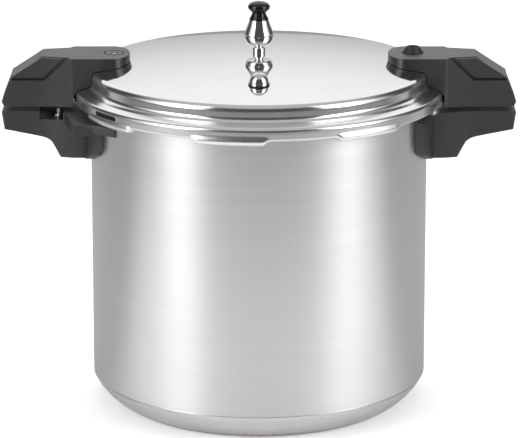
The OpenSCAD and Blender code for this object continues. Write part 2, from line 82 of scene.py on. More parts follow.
# ------------------------------------------------------------------ sizes and colours
class CannerSizes(bpy.types.PropertyGroup):
    steps_round: bpy.props.IntProperty(
        name="Steps round", description="Faces round the pot and the lid", default=720, min=96, max=900)
    handle_edge: bpy.props.FloatProperty(
        name="Handle edge", description="Radius of the moulded edges", default=0.0011,
        unit="LENGTH", precision=4)
    rack_radius: bpy.props.FloatProperty(
        name="Rack radius", description="Radius of the perforated rack",
        default=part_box("canning_rack")[1].x, unit="LENGTH")
    rack_hole: bpy.props.FloatProperty(
        name="Rack hole", description="Radius of each hole in the rack", default=0.0067,
        unit="LENGTH", precision=4)
    lug_bulge: bpy.props.FloatProperty(
        name="Lug bulge", description="How far a lid lug stands out of the skirt", default=0.0012,
        unit="LENGTH", precision=4)


class CannerColours(bpy.types.PropertyGroup):
    wall: bpy.props.FloatVectorProperty(
        name="Pot wall", description="Colour of the brushed aluminium wall", subtype="COLOR",
        size=3, default=(0.77, 0.762, 0.757))
    lid: bpy.props.FloatVectorProperty(
        name="Lid", description="Colour of the polished aluminium lid", subtype="COLOR",
        size=3, default=(0.90, 0.90, 0.905))
    handle: bpy.props.FloatVectorProperty(
        name="Handles", description="Colour of the moulded handles", subtype="COLOR",
        size=3, default=(0.0175, 0.0165, 0.0175))
    knob: bpy.props.FloatVectorProperty(
        name="Knob", description="Colour of the glossy knob on the weight", subtype="COLOR",
        size=3, default=(0.006, 0.006, 0.0065))


def sizes():
    """The sizes that a user can change, kept on the scene."""
    return bpy.context.scene.canner_sizes


def colours():
    """The colours that a user can change, kept on the scene."""
    return bpy.context.scene.canner_colours


# ------------------------------------------------------------------ node trees
class Net:
    """Adds and links the nodes of one tree, left to right."""

    def __init__(self, tree):
        self.tree = tree
        self.column = 0

    def add(self, kind, inputs=None, **settings):
        node = self.tree.nodes.new(kind)
        node.location = (self.column * 190, 0)
        self.column += 1
        for key, value in settings.items():
            setattr(node, key, value)
        for key, value in (inputs or {}).items():
            self.put(node.inputs[key], value)
        return node

    def put(self, socket, value):
        if isinstance(value, bpy.types.NodeSocket):
            self.tree.links.new(value, socket)
        else:
            socket.default_value = value

    def math(self, operation, a, b=0.0, c=0.0):
        return self.add("ShaderNodeMath", {0: a, 1: b, 2: c}, operation=operation).outputs[0]

    def vector(self, operation, a, b=(0, 0, 0), out=0):
        return self.add("ShaderNodeVectorMath", {0: a, 1: b}, operation=operation).outputs[out]

    def smooth(self, value, low, high, to_low=0.0, to_high=1.0):
        node = self.add("ShaderNodeMapRange", {0: value, 1: low, 2: high, 3: to_low, 4: to_high},
                        interpolation_type="SMOOTHSTEP")
        return node.outputs[0]


def finish_net(name):
    """A new material and its net, with the shader and the piece's own coordinates."""
    m = bpy.data.materials.new(name)
    m.use_nodes = True
    net = Net(m.node_tree)
    shader = m.node_tree.nodes["Principled BSDF"]
    shader.location = (2400, 0)
    m.node_tree.nodes["Material Output"].location = (2700, 0)
    place = net.add("ShaderNodeTexCoord").outputs["Object"]
    return m, net, shader, place


def noise(net, where, scale, detail=2.0, rough=0.5):
    """Soft random values from 0 to 1 over the given coordinates."""
    return net.add("ShaderNodeTexNoise",
                   {"Vector": where, "Scale": scale, "Detail": detail, "Roughness": rough}).outputs["Fac"]


def tint(net, colour, factor, low, high):
    """The colour made darker or lighter by a factor that runs from low to high."""
    scale = net.smooth(factor, 0.0, 1.0, low, high)
    node = net.add("ShaderNodeVectorMath", {0: tuple(colour), "Scale": scale}, operation="SCALE")
    return node.outputs[0]


def bump(net, height, strength, distance):
    """Fine relief that bends the light without moving the surface."""
    inputs = {"Strength": strength, "Distance": distance, "Height": height}
    return net.add("ShaderNodeBump", inputs).outputs[0]


def spun_wall(colour):
    """Aluminium turned on a lathe: brushed wall, machined bevel, polished rim, satin inside."""
    m, net, shader, place = finish_net("spun_wall")
    split = net.add("ShaderNodeSeparateXYZ", {0: place})
    z = split.outputs[2]
    flat = net.vector("MULTIPLY", place, (1, 1, 0))
    r = net.vector("LENGTH", flat, out=1)
    lines = noise(net, net.vector("MULTIPLY", place, (9, 9, 1500)), 1.0, 3.0, 0.6)
    streaks = noise(net, net.vector("MULTIPLY", place, (5, 5, 130)), 1.0, 3.0, 0.55)
    rings = net.math("SINE", net.math("MULTIPLY", net.math("ADD", r, z), 5200.0))
    bevel = net.smooth(z, 0.0283, 0.0273)
    rim = net.smooth(z, (RIM - 10) / 1000, (RIM - 9) / 1000)
    inside = net.math("MULTIPLY", net.smooth(r, (WALL - 1.6) / 1000, (WALL - 2.2) / 1000),
                      net.smooth(z, 0.003, 0.004))
    rough = net.math("MULTIPLY_ADD", streaks, 0.08, 0.31)
    rough = net.add("ShaderNodeMix", {0: bevel, 2: rough, 3: 0.20}).outputs[0]
    rough = net.add("ShaderNodeMix", {0: rim, 2: rough, 3: 0.09}).outputs[0]
    rough = net.add("ShaderNodeMix", {0: inside, 2: rough, 3: 0.34}).outputs[0]
    net.put(shader.inputs["Roughness"], rough)
    value = net.math("MULTIPLY_ADD", net.math("SUBTRACT", lines, 0.5), 0.16, 0.5)
    value = net.math("ADD", value, net.math("MULTIPLY", net.math("SUBTRACT", streaks, 0.5), 0.22))
    shade = tint(net, colour, value, 0.88, 1.12)
    bright = net.add("ShaderNodeMix", {0: bevel, 2: 1.0, 3: 1.08}).outputs[0]
    shade = net.add("ShaderNodeVectorMath", {0: shade, "Scale": bright}, operation="SCALE").outputs[0]
    net.put(shader.inputs["Base Color"], shade)
    height = net.math("ADD", lines, net.math("MULTIPLY", net.math("MULTIPLY", rings, bevel), 0.6))
    net.put(shader.inputs["Normal"], bump(net, height, 0.18, 0.00006))
    # turning marks run round the axis, so highlights stretch across them
    world = net.add("ShaderNodeVectorTransform", {0: net.add("ShaderNodeCombineXYZ", {
        0: net.math("MULTIPLY", split.outputs[1], -1.0), 1: split.outputs[0]}).outputs[0]},
        vector_type="VECTOR", convert_from="OBJECT", convert_to="WORLD").outputs[0]
    faced = net.add("ShaderNodeNewGeometry").outputs["Normal"]
    across = net.vector("NORMALIZE", net.vector("CROSS_PRODUCT", faced, world))
    net.put(shader.inputs["Tangent"], across)
    shader.inputs["Anisotropic"].default_value = 0.62
    shader.inputs["Metallic"].default_value = 1.0
    return m


def polished_lid(colour):
    """Polished aluminium: near mirror, with faint turning marks and a little haze."""
    m, net, shader, place = finish_net("polished_lid")
    flat = net.vector("MULTIPLY", place, (1, 1, 0))
    r = net.vector("LENGTH", flat, out=1)
    z = net.add("ShaderNodeSeparateXYZ", {0: place}).outputs[2]
    marks = noise(net, net.add("ShaderNodeCombineXYZ", {0: net.math("MULTIPLY", r, 1400.0),
                                                         1: net.math("MULTIPLY", z, 900.0)}).outputs[0],
                  1.0, 2.0)
    haze = noise(net, place, 26.0, 3.0, 0.6)
    under = net.smooth(z, (RIM + 19) / 1000, (RIM + 17) / 1000)
    shine = net.math("ADD", net.math("MULTIPLY_ADD", haze, 0.05, 0.035),
                     net.math("MULTIPLY", marks, 0.012))
    step = net.smooth(z, (RIM + 21) / 1000, (RIM + 19) / 1000, 0.0, 0.10)
    skirt = net.smooth(z, (RIM + 4) / 1000, (RIM + 1) / 1000, 0.0, 0.10)
    net.put(shader.inputs["Roughness"], net.math("ADD", shine, net.math("ADD", step, skirt)))
    net.put(shader.inputs["Base Color"], tint(net, colour, haze, 0.97, 1.02))
    low = noise(net, place, 55.0, 1.0)
    height = net.math("ADD", net.math("MULTIPLY", marks, 0.10), net.math("MULTIPLY", low, under))
    net.put(shader.inputs["Normal"], bump(net, height, 0.10, 0.0002))
    shader.inputs["Metallic"].default_value = 1.0
    return m


def moulded(colour):
    """Dark moulded plastic with a fine grain, and a paler warm colour painted on the faces that look up:
    partly dust, partly painted light from above.
    """
    m, net, shader, place = finish_net("moulded_handle")
    grain = noise(net, place, 2600.0, 2.0, 0.6)
    cloud = noise(net, place, 38.0, 4.0, 0.6)
    worn = noise(net, place, 260.0, 3.0, 0.6)
    up = net.add("ShaderNodeSeparateXYZ",
                 {0: net.add("ShaderNodeNewGeometry").outputs["Normal"]}).outputs[2]
    # painted light: faces that look up are mixed towards a paler warm colour, partly dust and partly
    # painted light from above, broken up by the wear noise
    dust_and_top_light = net.math("MULTIPLY", net.smooth(up, 0.25, 0.98), net.smooth(worn, 0.1, 0.9, 0.75, 1.0))
    plain = tint(net, colour, cloud, 0.75, 1.35)
    dusty_and_top_lit = net.add("ShaderNodeMix", {"Factor": dust_and_top_light, 4: plain, 5: (0.078, 0.071, 0.065)},
                    data_type="VECTOR")
    net.put(shader.inputs["Base Color"], dusty_and_top_lit.outputs[1])
    rough = net.math("MULTIPLY_ADD", cloud, 0.14, 0.33)
    net.put(shader.inputs["Roughness"], net.math("ADD", rough, net.math("MULTIPLY", grain, 0.10)))
    shader.inputs["Specular IOR Level"].default_value = 0.85
    height = net.math("ADD", net.math("MULTIPLY", grain, 0.6), net.math("MULTIPLY", worn, 0.5))
    net.put(shader.inputs["Normal"], bump(net, height, 0.35, 0.00012))
    return m


def chrome_plate():
    """Bright chrome plating with a trace of haze."""
    m, net, shader, place = finish_net("chrome_plate")
    haze = noise(net, place, 180.0, 2.0)
    net.put(shader.inputs["Base Color"], tint(net, (0.86, 0.865, 0.88), haze, 0.97, 1.02))
    net.put(shader.inputs["Roughness"], net.math("MULTIPLY_ADD", haze, 0.05, 0.02))
    net.put(shader.inputs["Normal"], bump(net, noise(net, place, 420.0, 1.0), 0.03, 0.0001))
    shader.inputs["Metallic"].default_value = 1.0
    return m


def zinc_plate(name="zinc_plate", colour=(0.56, 0.56, 0.57)):
    """Satin metal with a drawn grain along X, for plated steel, the rivets and the rack."""
    m, net, shader, place = finish_net(name)
    grain = noise(net, net.vector("MULTIPLY", place, (300, 2200, 2200)), 1.0, 3.0, 0.6)
    cloud = noise(net, place, 90.0, 3.0)
    net.put(shader.inputs["Base Color"], tint(net, colour, cloud, 0.85, 1.12))
    net.put(shader.inputs["Roughness"], net.math("MULTIPLY_ADD", grain, 0.16, 0.24))
    net.put(shader.inputs["Normal"], bump(net, grain, 0.14, 0.0001))
    shader.inputs["Metallic"].default_value = 1.0
    return m


def knob_gloss(colour):
    """Glossy black plastic."""
    m, net, shader, place = finish_net("knob_gloss")
    haze = noise(net, place, 150.0, 3.0)
    net.put(shader.inputs["Base Color"], tint(net, colour, haze, 0.8, 1.3))
    net.put(shader.inputs["Roughness"], net.math("MULTIPLY_ADD", haze, 0.10, 0.12))
    net.put(shader.inputs["Normal"], bump(net, noise(net, place, 700.0, 2.0), 0.05, 0.0001))
    shader.inputs["Specular IOR Level"].default_value = 0.35
    shader.inputs["Coat Weight"].default_value = 0.2
    shader.inputs["Coat Roughness"].default_value = 0.06
    return m


def rubber():
    """Smooth dark rubber."""
    m, net, shader, place = finish_net("black_rubber")
    grain = noise(net, place, 1500.0, 2.0, 0.6)
    cloud = noise(net, place, 120.0, 3.0)
    net.put(shader.inputs["Base Color"], tint(net, (0.016, 0.016, 0.0165), cloud, 0.8, 1.4))
    net.put(shader.inputs["Roughness"], net.math("MULTIPLY_ADD", grain, 0.16, 0.40))
    net.put(shader.inputs["Normal"], bump(net, grain, 0.25, 0.00015))
    shader.inputs["Specular IOR Level"].default_value = 0.45
    return m


FINISH = {}   # the materials made so far, by the record's slot


def finish(slot_name):
    """The material for one of the record's slots, made once."""
    if slot_name not in FINISH:
        c = colours()
        make = {
            "brushed_aluminium": lambda: spun_wall(c.wall),
            "polished_aluminium": lambda: polished_lid(c.lid),
            "rack_aluminium": lambda: zinc_plate("satin_rack", (0.74, 0.74, 0.74)),
            "rivet_aluminium": lambda: zinc_plate("satin_rivet", (0.70, 0.70, 0.70)),
            "phenolic": lambda: moulded(c.handle),
            "knob_plastic": lambda: knob_gloss(c.knob),
            "black_rubber": rubber,
            "chrome": chrome_plate,
            "plated_steel": zinc_plate,
        }[slot_name]
        FINISH[slot_name] = make()
    return FINISH[slot_name]


# ------------------------------------------------------------------ mesh helpers
def link(obj):
    """Puts an object in the scene."""
    bpy.context.scene.collection.objects.link(obj)
    return obj


def mesh_object(name, points, faces=()):
    """A linked object from points in millimetres."""
    mesh = bpy.data.meshes.new(name)
    mesh.from_pydata([(x / 1000, y / 1000, z / 1000) for x, y, z in points], (), faces)
    mesh.update()
    return link(bpy.data.objects.new(name, mesh))


def drop(obj):
    """Takes a helper object out again."""
    bpy.data.objects.remove(obj)


def freeze(obj, name, keep_normals=False):
    """The object with its modifiers worked out, as a plain piece; the object itself is used up."""
    bpy.context.view_layer.update()
    graph = bpy.context.evaluated_depsgraph_get()
    mesh = bpy.data.meshes.new_from_object(obj.evaluated_get(graph), depsgraph=graph,
                                           preserve_all_data_layers=keep_normals)
    obj.modifiers.clear()
    drop(obj)
    mesh.name = name
    return link(bpy.data.objects.new(name, mesh))


def tidy(piece, sharp, merge=1e-6, outward=True):
    """Joins doubles, turns the faces outwards, shades smooth up to an angle in degrees."""
    bm = bmesh.new()
    bm.from_mesh(piece.data)
    bmesh.ops.remove_doubles(bm, verts=bm.verts, dist=merge)
    bmesh.ops.dissolve_degenerate(bm, dist=1e-7, edges=bm.edges)
    loose = [v for v in bm.verts if not v.link_faces]
    bmesh.ops.delete(bm, geom=loose, context="VERTS")
    if outward:
        bmesh.ops.recalc_face_normals(bm, faces=bm.faces)
    bm.to_mesh(piece.data)
    bm.free()
    piece.data.shade_smooth()
    piece.data.set_sharp_from_angle(angle=radians(sharp))
    return piece


def settle(piece, body, slot_name, *nodes):
    """Gives a finished piece the material of its record slot and its body, and hides what it replaces."""
    piece.data.materials.clear()
    piece.data.materials.append(finish(slot_name))
    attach(piece, body)
    if nodes:
        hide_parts(*nodes)


def middle_x(node):
    """The middle of a CAD node along X, in millimetres."""
    low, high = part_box(node)
    return (low.x + high.x) * 500


def arc(cx, cz, r, a0, a1, n):
    """Points round an arc from a0 to a1 degrees."""
    return [(cx + r * cos(radians(a0 + (a1 - a0) * i / n)),
             cz + r * sin(radians(a0 + (a1 - a0) * i / n))) for i in range(n + 1)]


def bow(a, b, s, n):
    """Arc from a to b that bows out to the right of the way by s."""
    length = hypot(b[0] - a[0], b[1] - a[1])
    r = (length * length / 4 + s * s) / (2 * s)
    half = asin(length / 2 / r)
    u = ((b[0] - a[0]) / length, (b[1] - a[1]) / length)
    v = (u[1], -u[0])
    m = ((a[0] + b[0]) / 2, (a[1] + b[1]) / 2)
    out = []
    for i in range(n + 1):
        t = half * (2 * i / n - 1)
        p, q = r * sin(t), r * cos(t) - r + s
        out.append((m[0] + u[0] * p + v[0] * q, m[1] + u[1] * p + v[1] * q))
    return out


def held(line, reach=0.35, longer=2.5):
    """The line with a point close to each end of its long stretches, so that they shade flat."""
    out = [line[0]]
    for a, b in zip(line, line[1:]):
        length = hypot(b[0] - a[0], b[1] - a[1])
        if length > longer:
            for t in (reach / length, 1 - reach / length):
                out.append((a[0] + (b[0] - a[0]) * t, a[1] + (b[1] - a[1]) * t))
        out.append(b)
    return out


def lathe(name, line, n=96):
    """A turned piece: the line of (r, z) taken once round the Z axis."""
    points = [(r * cos(2 * pi * i / n), r * sin(2 * pi * i / n), z) for i in range(n) for r, z in line]
    m = len(line)
    faces = [(i * m + j, (i + 1) % n * m + j, (i + 1) % n * m + j + 1, i * m + j + 1)
             for i in range(n) for j in range(m - 1)]
    return mesh_object(name, points, faces)


def cut(piece, cutter):
    """Takes a closed cutter out of a piece, exactly."""
    m = piece.modifiers.new("cut", "BOOLEAN")
    m.operation, m.solver, m.object = "DIFFERENCE", "EXACT", cutter
    name = piece.name
    piece.name = name + "_raw"
    done = freeze(piece, name)
    drop(cutter)
    return done


def sides(n):
    """Faces that close the space between two like rings of n points."""
    ends = [tuple(range(n)), tuple(range(2 * n - 1, n - 1, -1))]
    return ends + [(i, n + i, n + (i + 1) % n, (i + 1) % n) for i in range(n)]


def rod(x, y, z0, z1, r, tilt=None, n=48):
    """Points and faces of one closed cylinder, in millimetres."""
    ring = [(r * cos(2 * pi * i / n), r * sin(2 * pi * i / n)) for i in range(n)]
    points = [(a, b, z0) for a, b in ring] + [(a, b, z1) for a, b in ring]
    faces = [tuple(range(n - 1, -1, -1)), tuple(range(n, 2 * n))]
    faces += [(i, (i + 1) % n, n + (i + 1) % n, n + i) for i in range(n)]
    if tilt is not None:
        points = [tuple(tilt @ Vector(p)) for p in points]
    return [(a + x, b + y, c) for a, b, c in points], faces


def joined(name, solids):
    """One object from several lists of points and faces."""
    points, faces = [], []
    for p, f in solids:
        faces += [tuple(i + len(points) for i in one) for one in f]
        points += p
    return mesh_object(name, points, faces)


# ------------------------------------------------------------------ the turned body
def turned_body_tree():
    """Geometry nodes that turn a line round Z, swelling it to a second line at each lug.

    The input mesh has one point for each step of the line: its position is the plain line, and
    its "lug" attribute is the same step of the line through a lug.
    """
    tree = bpy.data.node_groups.new("turned_body", "GeometryNodeTree")
    face = tree.interface
    face.new_socket("Geometry", in_out="INPUT", socket_type="NodeSocketGeometry")
    for name, kind, value in (("Steps round", "NodeSocketInt", 720), ("Lugs", "NodeSocketInt", 8),
                              ("First lug", "NodeSocketFloat", 0.0),
                              ("Half lug", "NodeSocketFloat", 0.196),
                              ("Lug end", "NodeSocketFloat", 0.02)):
        face.new_socket(name, in_out="INPUT", socket_type=kind).default_value = value
    face.new_socket("Material", in_out="INPUT", socket_type="NodeSocketMaterial")
    face.new_socket("Geometry", in_out="OUTPUT", socket_type="NodeSocketGeometry")
    net = Net(tree)
    given = net.add("NodeGroupInput").outputs
    count = net.add("GeometryNodeAttributeDomainSize", {0: given["Geometry"]}).outputs["Point Count"]
    grid = net.add("GeometryNodeMeshGrid", {
        "Size X": 1.0, "Size Y": 1.0,
        "Vertices X": net.math("ADD", given["Steps round"], 1.0), "Vertices Y": count}).outputs["Mesh"]
    where = net.add("ShaderNodeSeparateXYZ",
                    {0: net.add("GeometryNodeInputPosition").outputs[0]}).outputs
    angle = net.math("MULTIPLY", net.math("ADD", where[0], 0.5), 2 * pi)
    step = net.math("ROUND", net.math("MULTIPLY", net.math("ADD", where[1], 0.5),
                                      net.math("SUBTRACT", count, 1.0)))
    plain = net.add("GeometryNodeSampleIndex", {
        "Geometry": given["Geometry"], "Index": step}, data_type="FLOAT_VECTOR", domain="POINT")
    net.put(plain.inputs["Value"], net.add("GeometryNodeInputPosition").outputs[0])
    lug = net.add("GeometryNodeSampleIndex", {
        "Geometry": given["Geometry"], "Index": step}, data_type="FLOAT_VECTOR", domain="POINT")
    named = net.add("GeometryNodeInputNamedAttribute", {"Name": "lug"}, data_type="FLOAT_VECTOR")
    net.put(lug.inputs["Value"], named.outputs["Attribute"])
    turn = net.math("DIVIDE", net.math("MULTIPLY", net.math("SUBTRACT", angle, given["First lug"]),
                                       given["Lugs"]), 2 * pi)
    share = net.math("ABSOLUTE", net.math("SUBTRACT", net.math("FLOORED_MODULO",
                                          net.math("ADD", turn, 0.5), 1.0), 0.5))
    away = net.math("DIVIDE", net.math("MULTIPLY", share, 2 * pi), given["Lugs"])
    half_end = net.math("MULTIPLY", given["Lug end"], 0.5)
    swell = net.smooth(away, net.math("ADD", given["Half lug"], half_end),
                       net.math("SUBTRACT", given["Half lug"], half_end))
    mixed = net.add("ShaderNodeMix", {"Factor": swell}, data_type="VECTOR")
    net.put(mixed.inputs[4], plain.outputs["Value"])
    net.put(mixed.inputs[5], lug.outputs["Value"])
    line = net.add("ShaderNodeSeparateXYZ", {0: mixed.outputs[1]}).outputs
    spot = net.add("ShaderNodeCombineXYZ", {
        0: net.math("MULTIPLY", line[0], net.math("COSINE", angle)),
        1: net.math("MULTIPLY", line[0], net.math("SINE", angle)), 2: line[2]}).outputs[0]
    shaped = net.add("GeometryNodeSetPosition", {"Geometry": grid, "Position": spot}).outputs[0]
    merged = net.add("GeometryNodeMergeByDistance", {"Geometry": shaped, "Distance": 2e-6}).outputs[0]
    whole = net.add("GeometryNodeRealizeInstances", {0: merged}).outputs[0]
    painted = net.add("GeometryNodeSetMaterial", {"Geometry": whole, "Material": given["Material"]})
    net.put(net.add("NodeGroupOutput").inputs[0], painted.outputs[0])
    return tree


def run_tree(obj, tree, **inputs):
    """Puts the tree on the object with its named inputs."""
    modifier = obj.modifiers.new(tree.name, "NODES")
    modifier.node_group = tree
    names = {i.name: i.identifier for i in tree.interface.items_tree
             if i.item_type == "SOCKET" and i.in_out == "INPUT"}
    for name, value in inputs.items():
        modifier[names[name]] = value


def turned(name, line, lug_line, half_deg, end_deg, material):
    """A body turned from a plain line, which swells to the second line at each of its lugs."""
    base = mesh_object(name + "_line", [(r, 0, z) for r, z in line])
    store = base.data.attributes.new("lug", "FLOAT_VECTOR", "POINT")
    store.data.foreach_set("vector", [c for r, z in lug_line for c in (r / 1000, 0.0, z / 1000)])
    tree = bpy.data.node_groups.get("turned_body") or turned_body_tree()
    run_tree(base, tree, **{"Steps round": sizes().steps_round, "Lugs": LUGS,
                            "First lug": radians(LUG_FROM), "Half lug": radians(half_deg),
                            "Lug end": radians(end_deg), "Material": material})
    return freeze(base, name)


# ------------------------------------------------------------------ repeated small pieces
def scatter_tree():
    """Geometry nodes that set one small piece on every point, along the point's "aim"."""
    tree = bpy.data.node_groups.new("set_on_points", "GeometryNodeTree")
    face = tree.interface
    face.new_socket("Geometry", in_out="INPUT", socket_type="NodeSocketGeometry")
    face.new_socket("Piece", in_out="INPUT", socket_type="NodeSocketObject")
    face.new_socket("Size", in_out="INPUT", socket_type="NodeSocketFloat").default_value = 1.0
    face.new_socket("Material", in_out="INPUT", socket_type="NodeSocketMaterial")
    face.new_socket("Geometry", in_out="OUTPUT", socket_type="NodeSocketGeometry")
    net = Net(tree)
    given = net.add("NodeGroupInput").outputs
    aim = net.add("GeometryNodeInputNamedAttribute", {"Name": "aim"}, data_type="FLOAT_VECTOR")
    turn = net.add("FunctionNodeAlignRotationToVector", {"Vector": aim.outputs["Attribute"]}, axis="Z")
    piece = net.add("GeometryNodeObjectInfo", {"Object": given["Piece"]})
    placed = net.add("GeometryNodeInstanceOnPoints", {
        "Points": given["Geometry"], "Instance": piece.outputs["Geometry"],
        "Rotation": turn.outputs[0], "Scale": given["Size"]}).outputs[0]
    whole = net.add("GeometryNodeRealizeInstances", {0: placed}).outputs[0]
    painted = net.add("GeometryNodeSetMaterial", {"Geometry": whole, "Material": given["Material"]})
    net.put(net.add("NodeGroupOutput").inputs[0], painted.outputs[0])
    return tree


def scatter(name, template, spots, material):
    """Sets the template on every spot, each a place in millimetres and the way it points."""
    base = mesh_object(name + "_points", [s[0] for s in spots])
    store = base.data.attributes.new("aim", "FLOAT_VECTOR", "POINT")
    store.data.foreach_set("vector", [c for s in spots for c in s[1]])
    tree = bpy.data.node_groups.get("set_on_points") or scatter_tree()
    run_tree(base, tree, Piece=template, Size=1.0, Material=material)
    piece = freeze(base, name)
    drop(template)
    return piece


def rack_tree():
    """Geometry nodes that drill rings of holes through a plate."""
    tree = bpy.data.node_groups.new("drilled_rack", "GeometryNodeTree")
    face = tree.interface
    face.new_socket("Geometry", in_out="INPUT", socket_type="NodeSocketGeometry")
    for name, kind, value in (("Rack radius", "NodeSocketFloat", 0.139),
                              ("Hole radius", "NodeSocketFloat", 0.0067),
                              ("Plate height", "NodeSocketFloat", 0.018)):
        face.new_socket(name, in_out="INPUT", socket_type=kind).default_value = value
    face.new_socket("Material", in_out="INPUT", socket_type="NodeSocketMaterial")
    face.new_socket("Geometry", in_out="OUTPUT", socket_type="NodeSocketGeometry")
    net = Net(tree)
    given = net.add("NodeGroupInput").outputs
    lift = net.add("ShaderNodeCombineXYZ", {2: given["Plate height"]}).outputs[0]
    drill = net.add("GeometryNodeMeshCylinder", {
        "Vertices": 28, "Radius": given["Hole radius"], "Depth": 0.006}).outputs["Mesh"]
    rings = net.add("GeometryNodeJoinGeometry")
    for count, share in ((6, 0.22), (12, 0.42), (16, 0.60), (24, 0.86)):
        circle = net.add("GeometryNodeMeshCircle", {
            "Vertices": count, "Radius": net.math("MULTIPLY", given["Rack radius"], share)}).outputs[0]
        placed = net.add("GeometryNodeTransform", {
            "Geometry": circle, "Translation": lift, "Rotation": (0, 0, pi / count)}).outputs[0]
        net.tree.links.new(placed, rings.inputs[0])
    holes = net.add("GeometryNodeInstanceOnPoints", {
        "Points": rings.outputs[0], "Instance": drill}).outputs[0]
    wide = net.add("GeometryNodeMeshCylinder", {
        "Vertices": 40, "Radius": net.math("MULTIPLY", given["Rack radius"], 0.065),
        "Depth": 0.006}).outputs["Mesh"]
    centre = net.add("GeometryNodeTransform", {"Geometry": wide, "Translation": lift}).outputs[0]
    tools = net.add("GeometryNodeJoinGeometry")
    net.tree.links.new(net.add("GeometryNodeRealizeInstances", {0: holes}).outputs[0], tools.inputs[0])
    net.tree.links.new(centre, tools.inputs[0])
    drilled = net.add("GeometryNodeMeshBoolean", {"Mesh 1": given["Geometry"]},
                      operation="DIFFERENCE", solver="EXACT")
    net.put(drilled.inputs["Mesh 2"], tools.outputs[0])
    whole = net.add("GeometryNodeRealizeInstances", {0: drilled.outputs[0]}).outputs[0]
    painted = net.add("GeometryNodeSetMaterial", {"Geometry": whole, "Material": given["Material"]})
    net.put(net.add("NodeGroupOutput").inputs[0], painted.outputs[0])
    return tree


# ------------------------------------------------------------------ the pieces
def dome(r):
    """Height of the dome's outside at radius r."""
    return RIM + EDGE + CROWN * (1 - (r / (WALL - 1)) ** 2)


def tilt_at(r):
    """How far the lid surface leans outwards at radius r, in degrees."""
    return degrees(atan2(2 * CROWN * r / (WALL - 1) ** 2, 1))


class CANNER_OT_pot(bpy.types.Operator):
    """Turn the deep pot with its bevel, its rim and the eight lugs that hold the lid"""
    bl_idname = "canner.pot"
    bl_label = "Pot"

    def execute(self, context):
        w, t = WALL, POT_T
        start = [(0, 0.8), (w - 60, 0.8), (w - 59.2, 0.7), (w - 58, 0.1), (w - 57.2, 0), (w - BEVEL, 0)]
        start = held(start) + bow((w - BEVEL, 0), (w - 0.12, 27.4), 3, 22)[1:]
        start += [(w - 0.5, 27.75), (w - 0.12, 28.1), (w, 28.6)]
        wall = held([(w, 28.6), (w, 120), (w, 210), (w, RIM - 9.4)], 0.6)[1:]
        top = arc(w - t / 2, RIM - t / 2, t / 2, 0, 180, 10)
        inner = held([(w - t, RIM - t / 2), (w - t, 200), (w - t, 120), (w - t, FLOOR_T + CORNER)], 0.6)[1:]
        inner += arc(w - t - CORNER, FLOOR_T + CORNER, CORNER, 0, -90, 14)[1:]
        inner += [(60, FLOOR_T), (0, FLOOR_T)]
        ring = [(w, RIM - 9), (w + 0.6, RIM - 8.4), (w + 3.1, RIM - 7.8), (w + 3.5, RIM - 7.4),
                (w + 3.5, RIM - 7.0), (w + 3.5, RIM - 6), (w + 3.5, RIM - 5), (w + 3.5, RIM - 4.5),
                (w + 3.1, RIM - 4.1), (w + 0.7, RIM - 3.6), (w, RIM - 3.1)]
        out = SKIRT - LID_T - 0.7
        lug = [(w, RIM - 9), (w + 0.6, RIM - 8.2), (w + 3.1, RIM - 7.6), (out - 1.2, RIM - 7.6),
               (out - 0.3, RIM - 7.3), (out, RIM - 6.4), (out, RIM - 5.5), (out - 0.3, RIM - 4.6),
               (out - 1.2, RIM - 4.3), (w + 0.7, RIM - 4.1), (w, RIM - 3.1)]
        line = start + wall + ring + top + inner
        lugged = start + wall + lug + top + inner
        half = 360 / LUGS * 0.25 - 1.2
        piece = turned("pot_shell", line, lugged, half - 0.5, 1.0, finish("brushed_aluminium"))
        tidy(piece, 24)
        settle(piece, "pot", "brushed_aluminium", "pot")
        return {"FINISHED"}


def lid_top_line():
    """Outside line of the lid, from the centre out to the top of the skirt."""
    lw, fr = WALL + 0.5, LID_T + 0.6
    n = 18
    top = [((lw - 5.2) * i / n, dome((lw - 5.2) * i / n)) for i in range(n + 1)]
    top += arc(lw - 6, dome(lw - 5) - 5.91, 6, 76, 0, 9)
    top += arc(lw + 4, RIM + 12.1, 4, 180, 246, 8)
    top += arc(lw + 6.2, RIM + 5.3, 1.6, 96, 58, 4)
    return top + arc(SKIRT - fr, RIM + 1.6, fr, 64, 0, 9)


def lid_lines():
    """The closed line of the lid between its lugs, and the same line through a lug."""
    w, s, t = WALL, SKIRT, LID_T
    lw, fr = w + 0.5, t + 0.6
    top = lid_top_line()
    bulge = sizes().lug_bulge * 1000
    plain = [(s, RIM - 1.0), (s, RIM - 2.2), (s, RIM - 3.4), (s, RIM - 4.4), (s, RIM - 5.2),
             (s - 0.1, RIM - 5.9), (s - 0.5, RIM - 6.4), (s - 1.0, RIM - 6.65), (s - 1.5, RIM - 6.7),
             (s - 2.0, RIM - 6.65), (s - 2.5, RIM - 6.4), (s - 2.9, RIM - 5.9), (s - t, RIM - 5.2),
             (s - t, RIM - 4.2), (s - t, RIM - 3.4), (s - t, RIM - 2.4), (s - t, RIM - 1.0)]
    lug = [(s, RIM - 1.0), (s, RIM - 2.6), (s + 0.25, RIM - 3.9), (s + bulge * 0.8, RIM - 5.1),
           (s + bulge, RIM - 6.6), (s + bulge, RIM - 8.2), (s + 0.4, RIM - 9.9),
           (s - 1.0, RIM - 11.0), (s - 2.6, RIM - 11.3), (w + 7.4, RIM - 11.3),
           (w + 6.3, RIM - 11.0), (w + 6, RIM - 10.2), (w + 6, RIM - 9.2), (w + 6.8, RIM - 8.3),
           (s - t - 0.6, RIM - 8.2), (s - t, RIM - 7.4), (s - t, RIM - 1.0)]
    inner = arc(s - fr, RIM + 1.6, fr - t, 0, 66, 3) + [(lw + 5.6, RIM + 4.1)]
    inner += arc(lw + 4, RIM + 12.1, 7, 246, 180, 8)
    inner += arc(lw - 6, dome(lw - 5) - 5.91, 3, 0, 76, 6)
    inner += [(r, z - t) for r, z in reversed(top[:19])]
    return held(top, 0.5, 4) + plain + inner, held(top, 0.5, 4) + lug + inner


